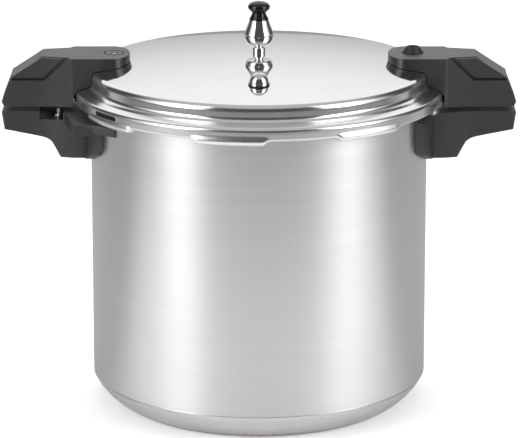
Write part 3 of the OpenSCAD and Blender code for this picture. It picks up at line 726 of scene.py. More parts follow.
def skirt_window():
    """Points and faces of the cutter for the rounded window in the lid's skirt."""
    z0, z1, a0, a1 = RIM - 3, RIM + 1.5, -150, -139
    mid, h = (z0 + z1) / 2, (z1 - z0) / 2
    end = [(cos(radians(b)) * h, sin(radians(b)) * h) for b in range(-90, 91, 15)]
    width = radians(a1 - a0) * SKIRT
    flat = [(width / 2 - h + p, q) for p, q in end] + [(-width / 2 + h - p, -q) for p, q in end]
    points = []
    for r in (SKIRT - LID_T - 1.5, SKIRT + 4):
        for p, q in flat:
            a = radians((a0 + a1) / 2) + p / SKIRT
            points.append((r * cos(a), r * sin(a), mid + q))
    return points, sides(len(flat))


class CANNER_OT_lid(bpy.types.Operator):
    """Form the lid with its dome, step, skirt and curled lugs, and cut its window and holes"""
    bl_idname = "canner.lid"
    bl_label = "Lid"

    def execute(self, context):
        line, lugged = lid_lines()
        half = 360 / LUGS * 0.25
        piece = turned("lid_shell", line, lugged, half - 0.2, 1.9, finish("polished_aluminium"))
        tidy(piece, 30)
        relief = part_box("relief_cap")
        ry = (relief[0].y + relief[1].y) * 500
        ry = -RELIEF if abs(ry + RELIEF) < 2 else ry
        lean = Matrix.Rotation(radians(tilt_at(-ry)), 3, "X")
        points, faces = rod(0, 0, -8, 8, 4.0, lean)
        solids = [skirt_window(),
                  rod(0, 0, TOP - 9, TOP + 5, 5.0),
                  rod(middle_x("overpressure_plug"), 0, RIM + 12, RIM + 34, 8.0),
                  rod(middle_x("interlock_pin"), 0, RIM + 12, RIM + 36, 5.55),
                  ([(x, y + ry, z + dome(-ry)) for x, y, z in points], faces)]
        cutter = joined("lid_cutter", solids)
        tidy(cutter, 30)
        piece = cut(piece, cutter)
        piece.data.set_sharp_from_angle(angle=radians(30))
        settle(piece, "lid", "polished_aluminium", "lid")
        return {"FINISHED"}


# ------------------------------------------------------------------ moulded handles
def prism_side(outline, y0, y1):
    """A closed block with its outline in X and Z."""
    points = [(x, y0, z) for x, z in outline] + [(x, y1, z) for x, z in outline]
    return outwards(mesh_object("side_block", points, sides(len(outline))))


def prism_plan(outline, z0, z1):
    """A closed block with its outline in X and Y."""
    points = [(x, y, z0) for x, y in outline] + [(x, y, z1) for x, y in outline]
    return outwards(mesh_object("plan_block", points, sides(len(outline))))


def sector(outline, a0, a1, n):
    """A closed outline of (r, z) taken round the Z axis from a0 to a1 degrees."""
    m = len(outline)
    points = []
    for i in range(n + 1):
        a = radians(a0 + (a1 - a0) * i / n)
        points += [(r * cos(a), r * sin(a), z) for r, z in outline]
    faces = [tuple(range(m)), tuple(range(n * m + m - 1, n * m - 1, -1))]
    faces += [(i * m + j, (i + 1) * m + j, (i + 1) * m + (j + 1) % m, i * m + (j + 1) % m)
              for i in range(n) for j in range(m)]
    return outwards(mesh_object("sector", points, faces))


def outwards(obj):
    """Turns all faces of a closed piece outwards."""
    bm = bmesh.new()
    bm.from_mesh(obj.data)
    bmesh.ops.recalc_face_normals(bm, faces=bm.faces)
    bm.to_mesh(obj.data)
    bm.free()
    return obj


def combine(piece, other, operation):
    """UNION, DIFFERENCE or INTERSECT of two closed pieces; both are used up."""
    m = piece.modifiers.new("combine", "BOOLEAN")
    m.operation, m.solver, m.object = operation, "EXACT", other
    done = freeze(piece, "moulding")
    drop(other)
    return done


def rounded(piece, width, angle=20, segments=3):
    """The piece with every edge sharper than the angle rounded to the width, in millimetres."""
    m = piece.modifiers.new("round", "BEVEL")
    m.width, m.segments, m.limit_method, m.angle_limit = width / 1000, segments, "ANGLE", radians(angle)
    m.use_clamp_overlap = True
    return freeze(piece, "moulding")


def beside(line, d):
    """The same line moved sideways by d, to the left of the way."""
    out = []
    for i, (x, z) in enumerate(line):
        a, b = line[max(i - 1, 0)], line[min(i + 1, len(line) - 1)]
        k = hypot(b[0] - a[0], b[1] - a[1]) or 1
        out.append((x - (b[1] - a[1]) / k * d, z + (b[0] - a[0]) / k * d))
    return out


BOX_SLACK = 0.003   # metres that a moulding may fall short of its node's box, or pass it


def moulding_finish(piece, name, body, node, turn=None):
    """Turns a moulding to its side, checks that it fills its node's box, and evens its shading."""
    if turn is not None:
        piece.data.transform(turn)
        if turn.determinant() < 0:
            piece.data.flip_normals()
    tidy(piece, 36, merge=4e-6, outward=False)
    low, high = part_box(node)
    points = [v.co for v in piece.data.vertices]
    for i in range(3):
        lowest, highest = min(p[i] for p in points), max(p[i] for p in points)
        if abs(lowest - low[i]) > BOX_SLACK or abs(highest - high[i]) > BOX_SLACK:
            raise RuntimeError(f"{name} doesn't fill the box of {node}")
    piece.modifiers.new("faces", "WEIGHTED_NORMAL").keep_sharp = True
    settle(freeze(piece, name, keep_normals=True), body, "phenolic", node)


def eased(a, corner, b, n=6):
    """Points that round the corner between a and b."""
    return [((1 - t) ** 2 * a[0] + 2 * t * (1 - t) * corner[0] + t * t * b[0],
             (1 - t) ** 2 * a[1] + 2 * t * (1 - t) * corner[1] + t * t * b[1])
            for t in (i / n for i in range(n + 1))]


class LidHandle:
    """Sizes of a lid handle, read from the frame, and the plan of its outside."""

    def __init__(self):
        low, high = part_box("lid_handle_right")
        self.nose, self.tip = low.x * 1000, high.x * 1000
        self.low, self.top = low.z * 1000, high.z * 1000
        self.half, self.grip = high.y * 1000, 20.0   # half widths at the lid and at the grip
        reach = self.tip - WALL
        self.bend = WALL + 0.54 * reach
        self.slope = (WALL + 0.905 * reach, RIM + 13.3)
        self.inner = WALL + 0.512 * reach
        self.screw = WALL + 0.456 * reach

    def plan(self, o):
        """The outside seen from above, o mm inside the surface."""
        w, g, s = WALL, self.grip - o, self.half - o
        step = [(w + 16, s), (w + 17.5, s - 1.5)]
        fall = (s - 1.5 - g) / (self.bend - w - 17.5)
        side = eased((self.bend - 10, g + fall * 10), (self.bend, g), (self.bend + 10, g))
        end = [(self.tip - 2, g), (self.tip + 1 - o, g - 3 + o * 0.6)]
        upper = step + side + end
        nose = [(w - 21 + (16.3 - o) * cos(radians(a)), s * sin(radians(a))) for a in range(90, 271, 5)]
        return nose + [(x, -y) for x, y in upper] + [(x, y) for x, y in reversed(upper)]

    def panel(self, inset_low, inset_high):
        """Outline of the sunk panel in X and Z, with a margin below and one above."""
        sx, sz = self.slope
        ax, az = sx - 0.6 * inset_high, sz + inset_low
        run = (self.inner - (WALL + 17.7)) / (self.top + 1 - sz - 0.5)
        bx = self.inner + inset_low * 0.6
        # with no margin above, the outline runs 1 mm out of the top
        upper = self.top - inset_high + (1 if inset_high == 0 else 0)
        return [(ax, az), (bx, az + 0.3),
                (bx - (self.top - inset_high + 0.6 - az) * run + inset_low * 0.9, upper),
                (self.bend + 1 - inset_high * 0.9, upper)]


def lid_handle(holes):
    """One lid handle on the +X side, with the given holes (x, radius) through its top."""
    k = LidHandle()
    w, t, rim = WALL, 4.0, RIM
    body = prism_side([(k.nose - 2, k.low), (k.tip - 2.4, k.low), (k.tip - 1, k.low + 2),
                       (k.tip, k.low + 3.7), k.slope, (k.bend, k.top), (k.nose - 2, k.top)],
                      -k.half - 1, k.half + 1)
    body = combine(body, prism_plan(k.plan(0), rim - 20, k.top + 5), "INTERSECT")
    body = rounded(body, 1000 * sizes().handle_edge)
    # sunk panel with a groove round a raised plate
    ring = combine(prism_side(k.panel(0, 0), -k.half - 2, k.half + 2),
                   prism_plan(k.plan(4.0), rim - 20, k.top + 5), "DIFFERENCE")
    body = combine(body, ring, "DIFFERENCE")
    plate = combine(prism_side(k.panel(2.6, 0.8), -k.half - 2, k.half + 2),
                    prism_plan(k.plan(0.5), rim - 20, k.top + 5), "INTERSECT")
    body = combine(body, rounded(plate, 0.6, 25, 2), "UNION")
    # the lid surface and the skirt
    over = beside([p for p in lid_top_line() if p[0] > 90], 0.4)
    under = sector(over + [(SKIRT + 2.2, over[-1][1]), (SKIRT + 2.2, rim - 20),
                           (80, rim - 20), (80, over[0][1])], -18, 18, 30)
    body = combine(body, under, "DIFFERENCE")
    # hollow grip, hollow over the foot of the bracket, and the slot of the bracket
    hollow = prism_side([(w + 17.5 + t, k.low - 5), (w + 17.5 + t, k.top - t - 2),
                         (w + 20 + t, k.top - t - 0.5), (k.bend - 1.5, k.top - t - 0.5),
                         (k.slope[0] - t - 0.5, k.slope[1] - 2.6), (k.tip - t - 1, k.low + 3),
                         (k.tip - t - 1.5, k.low - 5)], -k.half, k.half)
    body = combine(body, combine(hollow, prism_plan(k.plan(t + 1), rim - 25, k.top + 5), "INTERSECT"),
                   "DIFFERENCE")
    hollow = prism_side([(k.nose + 5, rim + 5), (w + 13, rim + 5), (w + 13, k.top - t - 0.5),
                         (k.nose + 5, k.top - t - 0.5)], -k.half, k.half)
    body = combine(body, combine(hollow, prism_plan(k.plan(t), rim - 20, k.top + 5), "INTERSECT"),
                   "DIFFERENCE")
    half_slot = [(w + 10, 22.4), (w + 20.5, 22.4), (w + 20.5, 12.4), (w + 19.5 + t, 12.4)]
    slot = prism_plan([(x, -y) for x, y in half_slot] + list(reversed(half_slot)),
                      rim + 23.7, rim + 27.2)
    body = combine(body, slot, "DIFFERENCE")
    # screw post and its rib
    post = joined("post", [rod(k.screw, 0, rim + 3, rim + 23.8, 7)])
    rib = prism_plan([(k.screw - 1.75, -k.half + 9), (k.screw + 1.75, -k.half + 9),
                      (k.screw + 1.75, k.half - 9), (k.screw - 1.75, k.half - 9)], rim + 3.2, rim + 23.6)
    post = combine(combine(outwards(post), rib, "UNION"),
                   outwards(joined("bore", [rod(k.screw, 0, rim, rim + 30, 3)])), "DIFFERENCE")
    body = combine(body, post, "UNION")
    for x, r in holes:
        body = combine(body, outwards(joined("bore", [rod(x, 0, k.top - 20, k.top + 10, r, n=64)])),
                       "DIFFERENCE")
    return body


def pot_handle():
    """The pot handle on the +X side: grip, saddle, and wing on the +Y side."""
    low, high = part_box("pot_handle_right")
    tip, top, base = high.x * 1000, high.z * 1000, low.z * 1000
    w, t, reach = WALL, 4.0, high.x * 1000 - WALL
    half, grip, tall = 27.0, 20.0, high.z * 1000 - low.z * 1000
    bend = w + 0.54 * reach
    body = prism_side([(w - 12, base), (w + 0.335 * reach, base + 0.5),
                       *eased((w + 0.425 * reach, base + 0.32 * tall),
                              (w + 0.455 * reach, base + 0.40 * tall),
                              (w + 0.53 * reach, base + 0.438 * tall), 5),
                       (tip - 2.6, top - 17.5), (tip, top - 1.4), (tip - 1.2, top), (w - 12, top)],
                      -half - 2, half + 2)
    fall = (half - grip) / (bend - w - 17)
    upper = [(w - 10, half), (w + 17, half),
             *eased((bend - 10, grip + fall * 10), (bend, grip), (bend + 10, grip)),
             (tip - 3, grip), (tip, grip - 3)]
    outline = [(x, -y) for x, y in upper] + [(x, y) for x, y in reversed(upper)]
    body = combine(body, prism_plan(outline, 0, top + 5), "INTERSECT")
    body = rounded(body, 900 * sizes().handle_edge)
    # saddle that hugs the pot wall, with rounded lower corners
    reach_y = 76.0
    span = degrees(asin(reach_y / w))
    ring = [(w - 3, base), (w + 6.3, base), (w + 7.1, base + 0.35), (w + 7.5, base + 1.2),
            (w + 7.5, top - 2.0), (w + 7.1, top - 1.1), (w + 6.3, top - 0.8), (w - 3, top - 0.8)]
    saddle = sector(ring, -span, span, 44)
    half_side = ([(0, -tall - 1), (26, -tall - 1), (38, -41), (50, -36.6)] +
                 eased((56, -34), (63.6, -30.6), (65, -23), 8) + [(66, -10), (66.5, 1)])
    side = [(-y, z) for y, z in reversed(half_side[1:])] + half_side[1:]
    block = prism_side([(y, top + z) for y, z in side], -w - 30, -w / 2)
    block.data.transform(Matrix.Rotation(pi / 2, 4, "Z"))
    saddle = combine(saddle, block, "INTERSECT")
    body = combine(body, saddle, "UNION")
    # wing on the side that the lid handle turns away from
    wing_y, wedge_y = 74, 89
    wall_at_wing, wall_at_wedge = sqrt(w * w - wing_y ** 2), sqrt(w * w - wedge_y ** 2)
    wing = prism_plan([(w - 4, 4), (w + 24.5, 22), (wall_at_wing + 31.3, wing_y),
                       (wall_at_wing - 4, wing_y), (w - 8, 40)], top - 11, top)
    body = combine(body, rounded(wing, 1.0, 25, 3), "UNION")
    wedge = prism_plan([(wall_at_wing + 14, 70), (wall_at_wing + 14, 73.4), (wall_at_wedge + 2, wedge_y),
                        (wall_at_wedge - 3, wedge_y), (wall_at_wing - 4, 70)], top - 8.4, top - 0.4)
    body = combine(body, rounded(wedge, 0.6, 25, 2), "UNION")
    wall = outwards(joined("wall", [rod(0, 0, base - 5, top + 5, w + 0.35, n=480)]))
    body = combine(body, wall, "DIFFERENCE")
    # hollow, open below
    hollow = prism_side([(w - 12, base - 10), (w - 12, top - t - 0.5), (tip - t - 1, top - t - 0.5),
                         (tip - t - 3, base - 10)], -half, half)
    upper = [(w - 12, half - t), (w + 17, half - t), (bend, grip - t), (tip, grip - t)]
    outline = [(x, -y) for x, y in upper] + [(x, y) for x, y in reversed(upper)]
    body = combine(body, combine(hollow, prism_plan(outline, base - 20, top + 5), "INTERSECT"),
                   "DIFFERENCE")
    cut_x = w + 0.331 * reach - 2.5
    notch = prism_plan([(cut_x, 2), (cut_x + 0.239 * reach + 2.5, 2),
                        (cut_x + 0.239 * reach + 2.5, half + 8), (cut_x, half + 8)], top - 7.5, top + 3)
    body = combine(body, notch, "DIFFERENCE")
    # screw posts and the rib that ties them to the handle walls
    screw, under = w + 0.356 * reach, top - 20.2
    posts = prism_plan([(screw - 1.75, -half + 5.5), (screw + 1.75, -half + 5.5),
                        (screw + 1.75, half - 5.5), (screw - 1.75, half - 5.5)], under + 2.7, under + 12.3)
    for y in (-9, 9):
        posts = combine(posts, outwards(joined("post", [rod(screw, y, under, under + 12.5, 5.5)])), "UNION")
    for y in (-9, 9):
        posts = combine(posts, outwards(joined("bore", [rod(screw, y, under - 3, under + 37, 2.55)])),
                        "DIFFERENCE")
    body = combine(body, posts, "UNION")
    return body


class CANNER_OT_handles(bpy.types.Operator):
    """Mould the two lid handles and the two pot handles"""
    bl_idname = "canner.handles"
    bl_label = "Handles"

    def execute(self, context):
        flip = Matrix.Scale(-1, 4, (1, 0, 0))
        right = lid_handle([(middle_x("overpressure_plug"), 8.5)])
        moulding_finish(right, "lid_handle_right_moulded", "lid", "lid_handle_right")
        x = -middle_x("interlock_pin")
        left = lid_handle([(x, 3.2)])
        # a shallow ring round the pin
        top = LidHandle().top
        groove = [(8.6, top - 0.8), (10, top - 0.8), (10, top + 2), (8.6, top + 2)]
        groove = sector(groove, 0, 359.999, 64)
        groove.data.transform(Matrix.Translation((x / 1000, 0, 0)))
        left = combine(left, tidy(groove, 30, 1e-6), "DIFFERENCE")
        moulding_finish(left, "lid_handle_left_moulded", "lid", "lid_handle_left", flip)
        right = pot_handle()
        left = link(bpy.data.objects.new("moulding_left", right.data.copy()))
        moulding_finish(right, "pot_handle_right_moulded", "pot", "pot_handle_right")
        moulding_finish(left, "pot_handle_left_moulded", "pot", "pot_handle_left",
                        Matrix.Rotation(pi, 4, "Z"))
        return {"FINISHED"}


class CANNER_OT_weight(bpy.types.Operator):
    """Turn the chromed weight and its glossy black knob"""
    bl_idname = "canner.weight"
    bl_label = "Weight"

    def execute(self, context):
        low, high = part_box("weight_body")
        z0, z1, r = low.z * 1000, high.z * 1000, high.x * 1000
        h = z1 - z0
        side = [(4.7, 0), (0.50 * r, 0.005 * h), (0.64 * r, 0.015 * h), (0.74 * r, 0.035 * h),
                (0.82 * r, 0.07 * h), (0.88 * r, 0.12 * h), (0.93 * r, 0.185 * h), (0.97 * r, 0.26 * h),
                (0.992 * r, 0.33 * h), (r, 0.40 * h), (0.985 * r, 0.46 * h), (0.945 * r, 0.53 * h),
                (0.90 * r, 0.60 * h), (0.845 * r, 0.68 * h), (0.79 * r, 0.76 * h), (0.74 * r, 0.83 * h),
                (0.70 * r, 0.89 * h), (0.675 * r, 0.94 * h), (0.655 * r, 0.975 * h), (0.64 * r, h - 0.1),
                (0.62 * r, h)]
        line = [(0, z0 + 8.4), (3.05, z0 + 8.4), (3.05, z0 + 0.25), (3.3, z0)]
        line += [(a, z0 + b) for a, b in side] + [(2.0, z1), (2.0, z1 - 8), (0, z1 - 8)]
        body = tidy(lathe("weight_shell", held(line, 0.2, 3)), 40)
        settle(body, "weight", "chrome", "weight_body")
        low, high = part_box("weight_knob")
        z0, z1, r = low.z * 1000, high.z * 1000, high.x * 1000
        line = [(0, z0 + 9.5), (2.0, z0 + 9.5), (2.0, z0)]
        line += [(8.7, z0), (9.0, z0 + 0.3), (8.95, z0 + 0.8), (8.5, z0 + 1.6), (7.9, z0 + 2.6),
                 (7.3, z0 + 3.7), (6.85, z0 + 4.7), (6.6, z0 + 5.6), (6.62, z0 + 6.3),
                 (6.95, z0 + 7.1), (7.6, z0 + 7.9), (8.5, z0 + 8.7), (9.4, z0 + 9.6),
                 (10.05, z0 + 10.5), (r, z0 + 11.5), (r - 0.02, z0 + 12.3), (10.0, z0 + 13.4),
                 (9.3, z0 + 14.5), (8.2, z0 + 15.4), (6.6, z0 + 16.1), (4.6, z0 + 16.65),
                 (2.3, z0 + 17.0), (0, z1)]
        knob = tidy(lathe("weight_knob_turned", line), 50)
        settle(knob, "weight", "knob_plastic", "weight_knob")
        return {"FINISHED"}


class CANNER_OT_lid_fittings(bpy.types.Operator):
    """Turn the vent tube, the relief valve cap, the overpressure plug and the interlock pin"""
    bl_idname = "canner.lid_fittings"
    bl_label = "Lid fittings"

    def execute(self, context):
        v = TOP
        line = [(0, v - 11), (4.3, v - 11), (4.95, v - 10.3), (4.95, v + 0.05), (5.8, v + 0.05),
                (6, v + 0.25), (6, v + 3.9), (5.75, v + 4.5), (5.2, v + 5.0), (4.1, v + 5.6),
                (3.6, v + 6.1), (3.6, v + 6.6), (4.0, v + 7.3), (3.1, v + 7.3),
                (3, v + 7.5), (3, v + 13.4), (2.8, v + 14.0), (2.4, v + 14.4), (1.5, v + 14.4),
                (1.5, v + 1), (0, v + 1)]
        tube = tidy(lathe("vent_tube_turned", held(line, 0.2, 3), 64), 40)
        settle(tube, "lid", "chrome", "vent_tube")

        r = 9.0
        line = [(0, -11), (3.3, -11), (3.95, -10.3), (3.95, 1.25), (r + 0.1, 1.25), (r + 0.35, 1.5),
                (r + 0.35, 2.0), (r + 0.15, 2.3), (r, 2.6)]
        line += [(r * cos(radians(a)), 2.4 + r * sin(radians(a))) for a in range(6, 91, 6)]
        line[-1] = (0, line[-1][1])
        cap = lathe("relief_cap_turned", held(line, 0.2, 3), 72)
        lean = Matrix.Rotation(radians(tilt_at(RELIEF)), 4, "X")
        cap.data.transform(Matrix.Translation((0, -RELIEF / 1000, dome(RELIEF) / 1000)) @ lean)
        settle(tidy(cap, 32), "lid", "chrome", "relief_cap")

        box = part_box("overpressure_plug")
        top, low = box[1].z * 1000 - 6, box[0].z * 1000
        line = [(0, low), (8.2, low), (9.1, low + 0.5), (9.6, low + 1.4), (9.6, low + 3.2),
                (9.2, low + 3.6), (7.95, low + 3.6), (7.95, top + 0.1), (9.9, top + 0.1),
                (10.2, top + 0.35), (10.05, top + 0.8), (9.2, top + 1.5), (8.3, top + 2.7),
                (7.5, top + 4.1), (6.9, top + 5.3), (6.55, top + 5.85), (6.1, top + 6.0),
                (5.3, top + 5.9), (4.9, top + 5.5), (4.6, top + 4.2), (4.2, top + 2.9),
                (3.2, top + 2.3), (0, top + 2.1)]
        plug = tidy(lathe("overpressure_plug_turned", held(line, 0.3, 3), 72), 40)
        plug.data.transform(Matrix.Translation((middle_x("overpressure_plug") / 1000, 0, 0)))
        settle(plug, "lid", "black_rubber", "overpressure_plug")

        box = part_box("interlock_pin")
        low, high = box[0].z * 1000, box[1].z * 1000
        line = [(0, low), (2.0, low), (2.45, low + 0.3), (2.64, low + 0.8), (2.64, high - 1.3),
                (2.5, high - 0.8), (2.1, high - 0.35), (1.4, high - 0.08), (0, high)]
        pin = tidy(lathe("interlock_pin_turned", held(line, 0.3, 3), 48), 40)
        pin.data.transform(Matrix.Translation((middle_x("interlock_pin") / 1000, 0, 0)))
        settle(pin, "interlock", "chrome", "interlock_pin")
        return {"FINISHED"}


def centres(node):
    """The centre of each separate solid of a CAD node, in millimetres."""
    bm = bmesh.new()
    bm.from_mesh(NODES[node].data)
    bmesh.ops.remove_doubles(bm, verts=bm.verts, dist=1e-5)
    left, found = set(bm.verts), []
    while left:
        group, todo = [], [left.pop()]
        while todo:
            v = todo.pop()
            group.append(v.co.copy())
            for e in v.link_edges:
                o = e.other_vert(v)
                if o in left:
                    left.discard(o)
                    todo.append(o)
        low = Vector([min(c[i] for c in group) for i in range(3)])
        high = Vector([max(c[i] for c in group) for i in range(3)])
        found.append(((low + high) * 500, low * 1000, high * 1000))
    bm.free()
    return sorted(found, key=lambda c: tuple(c[0]))


def hexagon(name, r, bore, h):
    """A hexagonal nut with rounded corners top and bottom, standing on z = 0."""
    n = 72
    line = [(bore, 0), (r * 0.86, 0), (r, h * 0.12), (r, h * 0.88), (r * 0.86, h), (bore, h)]
    points = []
    for i in range(n):
        a = 2 * pi * i / n
        flat = r * 0.866 / cos((a + pi / 6) % (pi / 3) - pi / 6)
        for rr, z in line:
            k = min(rr, flat)
            points.append((k * cos(a), k * sin(a), z))
    m = len(line)
    faces = [(i * m + j, (i + 1) % n * m + j, (i + 1) % n * m + (j + 1) % m, i * m + (j + 1) % m)
             for i in range(n) for j in range(m)]
    return tidy(mesh_object(name, points, faces), 30)


class CANNER_OT_fasteners(bpy.types.Operator):
    """Set the rivets, screws and nuts of the brackets"""
    bl_idname = "canner.fasteners"
    bl_label = "Fasteners"

    def execute(self, context):
        # rivets through the pot wall, heads outside and inside
        spots = []
        for middle, low, high in centres("pot_bracket_rivets"):
            side = 1 if middle.x > 0 else -1
            spots.append(((middle.x, middle.y, middle.z), (side, 0, 0)))
        h = (high.x - low.x) / 2
        line = [(0, -h), (2.6, -h), (3.6, -h + 0.25), (4.25, -h + 0.8), (4.4, -h + 1.3),
                (4.4, -h + 2.1), (2.4, -h + 2.1), (2.4, h - 1.9), (4.4, h - 1.9), (4.35, h - 1.3),
                (3.8, h - 0.6), (2.8, h - 0.15), (1.5, h - 0.02), (0, h)]
        rivet = tidy(lathe("rivet", line, 32), 50)
        piece = scatter("pot_bracket_rivets_set", rivet, spots, finish("rivet_aluminium"))
        tidy(piece, 50)
        settle(piece, "pot", "rivet_aluminium", "pot_bracket_rivets")

        # rivets through the lid, square to the sloping feet of the brackets
        foot = dome(WALL - 28) + 0.35
        lean = atan2(foot - (RIM + 24.1), 22)
        spots = []
        for s in (-1, 1):
            for y in (-17, 17):
                spots.append(((s * (WALL - 17), y, (foot + RIM + 24.1) / 2),
                              (s * sin(lean), 0, cos(lean))))
        line = [(0, -6), (2.6, -6), (3.6, -5.7), (4.2, -5.1), (4.2, -4.35), (2.4, -4.35),
                (2.4, 2.55), (4.3, 2.55), (4.25, 3.1), (3.6, 3.85), (2.4, 4.22), (0, 4.3)]
        rivet = tidy(lathe("rivet", line, 32), 50)
        piece = scatter("lid_bracket_rivets_set", rivet, spots, finish("rivet_aluminium"))
        tidy(piece, 50)
        settle(piece, "lid", "rivet_aluminium", "lid_bracket_rivets")

        # screws, each with a recessed head and a plain shank, turned once for each length
        for node, body, head, shank in (("pot_handle_screws", "pot", 5.0, 2.5),
                                        ("lid_handle_screws", "lid", 5.5, 2.95)):
            parts = {}
            for middle, low, high in centres(node):
                parts.setdefault(round(high.z - low.z, 1), []).append((middle.x, middle.y, low.z))
            pieces = []
            for length, places in sorted(parts.items()):
                cap = 3.35 if body == "pot" else 3.9
                line = [(0, 1.6), (1.5, 1.6), (1.9, 0.05), (head * 0.72, 0), (head * 0.92, 0.5),
                        (head, 1.2), (head, cap), (shank, cap), (shank, length - 0.6),
                        (shank * 0.78, length), (0, length)]
                screw = tidy(lathe("screw", held(line, 0.2, 3), 40), 40)
                spots = [(p, (0, 0, 1)) for p in places]
                pieces.append(scatter(f"{node}_{len(pieces)}", screw, spots, finish("plated_steel")))
            bm = bmesh.new()
            for p in pieces:
                bm.from_mesh(p.data)
                drop(p)
            mesh = bpy.data.meshes.new(node + "_set")
            bm.to_mesh(mesh)
            bm.free()
            piece = tidy(link(bpy.data.objects.new(node + "_set", mesh)), 40)
            settle(piece, body, "plated_steel", node)

        # nuts on the screws
        for node, body, r, bore in (("pot_handle_nuts", "pot", 4.6, 2.55),
                                    ("lid_handle_nuts", "lid", 5.6, 3.0),
                                    ("vent_nut", "lid", 8.0, 5.0)):
            found = centres(node)
            h = found[0][2].z - found[0][1].z
            nut = hexagon("nut", r, bore, h)
            spots = [((m.x, m.y, low.z), (0, 0, 1)) for m, low, high in found]
            piece = scatter(node + "_set", nut, spots, finish("plated_steel"))
            tidy(piece, 30)
            settle(piece, body, "plated_steel", node)
        return {"FINISHED"}


class CANNER_OT_rack(bpy.types.Operator):
    """Turn the jar rack and drill its rings of holes"""
    bl_idname = "canner.rack"
    bl_label = "Jar rack"

    def execute(self, context):
        low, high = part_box("canning_rack")
        r, z = high.x * 1000, low.z * 1000
        h = (high.z - low.z) * 1000 - 2
        foot = min(0.72 * r, WALL - POT_T - CORNER - 4)
        line = [(0, z + h), (foot - 2, z + h), (foot - 2, z + 0.4), (foot - 1.6, z), (foot - 0.4, z),
                (foot, z + 0.4), (foot, z + h), (r - 2, z + h), (r - 2, z + h - 2.3),
                (r - 1.7, z + h - 2.6), (r - 0.3, z + h - 2.6), (r, z + h - 2.3), (r, z + h + 1.2),
                (r - 0.25, z + h + 1.75), (r - 0.8, z + h + 2), (0, z + h + 2)]
        plate = tidy(lathe("rack_plate", line, 160), 30)
        tree = rack_tree()
        run_tree(plate, tree, **{"Rack radius": sizes().rack_radius, "Hole radius": sizes().rack_hole,
                                 "Plate height": (z + h + 1) / 1000,
                                 "Material": finish("rack_aluminium")})
        piece = tidy(freeze(plate, "canning_rack_drilled"), 30)
        settle(piece, "rack", "rack_aluminium", "canning_rack")
        return {"FINISHED"}


class CANNER_OT_hidden_parts(bpy.types.Operator):
    """Give their finishes to the brackets, seals and small fittings that keep their frame shapes"""
    bl_idname = "canner.hidden_parts"
    bl_label = "Brackets and seals"

    def execute(self, context):
        slots = {s["node"]: s["material_slot"] for s in RECORD["subparts"]}
        for node in ("pot_bracket_left", "pot_bracket_right", "lid_bracket_left", "lid_bracket_right",
                     "gasket", "vent_washer", "relief_seal", "relief_nut", "interlock_bush",
                     "interlock_clip", "weight_screw"):
            obj = NODES[node]
            m = finish(slots[node])
            if not obj.data.materials:
                obj.data.materials.append(m)
            for s in obj.material_slots:
                s.material = m
        return {"FINISHED"}


def softbox(name, place, aim, wide, tall, power):
    """A rectangular studio lamp, turned to face its aim."""
    lamp = bpy.data.lights.new(name, "AREA")
    lamp.shape, lamp.size, lamp.size_y = "RECTANGLE", wide, tall
    lamp.energy = power
    obj = link(bpy.data.objects.new(name, lamp))
    obj.location = place
    obj.rotation_euler = (Vector(aim) - Vector(place)).to_track_quat("-Z", "Y").to_euler()
    return obj


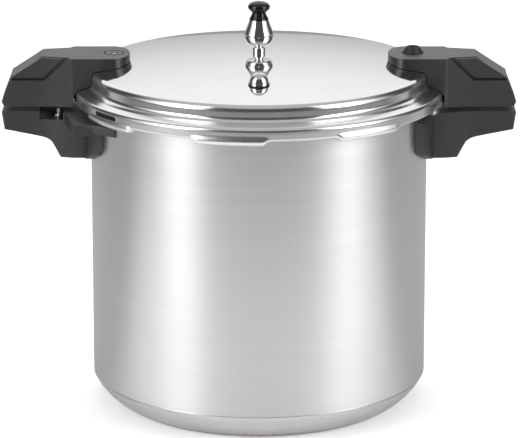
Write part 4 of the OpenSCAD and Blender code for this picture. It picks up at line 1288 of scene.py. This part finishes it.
class CANNER_OT_stage(bpy.types.Operator):
    """Set the pale floor, the soft studio light and the camera"""
    bl_idname = "canner.stage"
    bl_label = "Floor, light and camera"

    def execute(self, context):
        scene = context.scene
        floor = lathe("studio_floor", [(0, 0), (1500, 0), (4000, 0), (9000, 0)], 64)
        for p in floor.data.polygons:
            if p.normal.z < 0:
                p.flip()
        m = bpy.data.materials.new("pale_floor")
        m.use_nodes = True
        net = Net(m.node_tree)
        shader = m.node_tree.nodes["Principled BSDF"]
        ray = net.add("ShaderNodeLightPath").outputs["Is Camera Ray"]
        place = net.add("ShaderNodeTexCoord").outputs["Object"]
        y = net.add("ShaderNodeSeparateXYZ", {0: place}).outputs[1]
        far = net.smooth(net.vector("LENGTH", place, out=1), 0.95, 1.40)
        far = net.math("MULTIPLY", far, net.smooth(y, 0.6, 0.0))
        near = net.smooth(y, 0.05, -0.15, 0.50, 0.88)
        grey = net.add("ShaderNodeMix", {0: far, 2: near, 3: 0.14}).outputs[0]
        grey = net.add("ShaderNodeMix", {0: ray, 2: grey, 3: 0.94}).outputs[0]
        net.put(shader.inputs["Base Color"],
                net.add("ShaderNodeCombineColor", {0: grey, 1: grey, 2: grey}).outputs[0])
        shader.inputs["Roughness"].default_value = 1.0
        shader.inputs["Specular IOR Level"].default_value = 0.0
        shader.inputs["Emission Color"].default_value = (1, 1, 1, 1)
        net.put(shader.inputs["Emission Strength"], net.math("MULTIPLY", ray, 0.30))
        floor.data.materials.append(m)

        world = bpy.data.worlds.new("studio")
        scene.world = world
        world.use_nodes = True
        net = Net(world.node_tree)
        ground = world.node_tree.nodes["Background"]
        way = net.add("ShaderNodeSeparateXYZ",
                      {0: net.add("ShaderNodeTexCoord").outputs["Generated"]}).outputs
        turn = net.math("MULTIPLY", net.math("ARCTAN2", way[0], net.math("MULTIPLY", way[1], -1.0)),
                        180 / pi)
        turn = net.math("ABSOLUTE", net.math("SUBTRACT", turn, 3.0))
        # a dark room in front, a softbox on each side, a pale wall behind and a pale ceiling
        box = net.math("MULTIPLY", net.smooth(turn, 37.0, 47.0), net.smooth(turn, 106.0, 42.0, 0.0, 1.0))
        box = net.math("MULTIPLY", box, net.math("MULTIPLY", net.smooth(way[2], -0.25, 0.0),
                                                 net.smooth(way[2], 0.88, 0.70)))
        wall = net.math("MULTIPLY", net.smooth(turn, 128.0, 150.0),
                        net.smooth(way[2], -0.08, 0.55, 0.46, 0.91))
        wall = net.math("MULTIPLY", wall, net.smooth(way[2], 0.93, 0.70))
        roof = net.math("MULTIPLY", net.smooth(way[2], 0.55, 0.90), 0.42)
        light = net.math("MAXIMUM", net.math("MULTIPLY", box, 2.35), net.math("MAXIMUM", wall, roof))
        light = net.math("ADD", light, 0.075)
        seen = net.add("ShaderNodeLightPath").outputs["Is Camera Ray"]
        light = net.add("ShaderNodeMix", {0: seen, 2: light, 3: 1.0}).outputs[0]
        net.put(ground.inputs["Strength"], light)
        ground.inputs["Color"].default_value = (1.0, 0.998, 0.995, 1)

        softbox("softbox_left", (-1.55, -1.15, 0.85), (0, 0, 0.16), 0.75, 1.5, 9)
        softbox("softbox_right", (1.75, -0.9, 0.85), (0, 0, 0.16), 0.70, 1.5, 8)
        top = softbox("softbox_top", (0.0, 0.35, 2.1), (0, 0, 0.2), 1.6, 1.6, 22)
        top.visible_glossy = False

        cam = bpy.data.cameras.new("camera")
        cam.sensor_width, cam.lens = 36, 249.4
        cam.clip_start, cam.clip_end = 0.05, 60
        cam.shift_x = 0.002
        obj = link(bpy.data.objects.new("camera", cam))
        obj.location = (0, -3.31394, 1.09646)
        obj.rotation_euler = (radians(90 - 15.553), 0, 0)
        scene.camera = obj
        scene.view_settings.view_transform = "Standard"
        scene.view_settings.look = "None"
        return {"FINISHED"}


class CANNER_PT_panel(bpy.types.Panel):
    bl_idname = "CANNER_PT_panel"
    bl_label = "Pressure canner"
    bl_space_type = "VIEW_3D"
    bl_region_type = "UI"
    bl_category = "Canner"

    def draw(self, context):
        layout = self.layout
        for group in (context.scene.canner_sizes, context.scene.canner_colours):
            for name in group.__annotations__:
                layout.prop(group, name)
        for operator in OPERATORS:
            layout.operator(operator.bl_idname)


OPERATORS = (CANNER_OT_stage, CANNER_OT_pot, CANNER_OT_lid, CANNER_OT_handles, CANNER_OT_weight,
             CANNER_OT_lid_fittings, CANNER_OT_fasteners, CANNER_OT_rack, CANNER_OT_hidden_parts)
CLASSES = (CannerSizes, CannerColours, *OPERATORS, CANNER_PT_panel)


def register():
    for c in CLASSES:
        bpy.utils.register_class(c)
    bpy.types.Scene.canner_sizes = bpy.props.PointerProperty(type=CannerSizes)
    bpy.types.Scene.canner_colours = bpy.props.PointerProperty(type=CannerColours)


def unregister():
    del bpy.types.Scene.canner_colours
    del bpy.types.Scene.canner_sizes
    for c in reversed(CLASSES):
        bpy.utils.unregister_class(c)


def main():
    register()
    for operator in OPERATORS:
        group, name = operator.bl_idname.split(".")
        getattr(getattr(bpy.ops, group), name)()


if __name__ == "__main__":
    main()
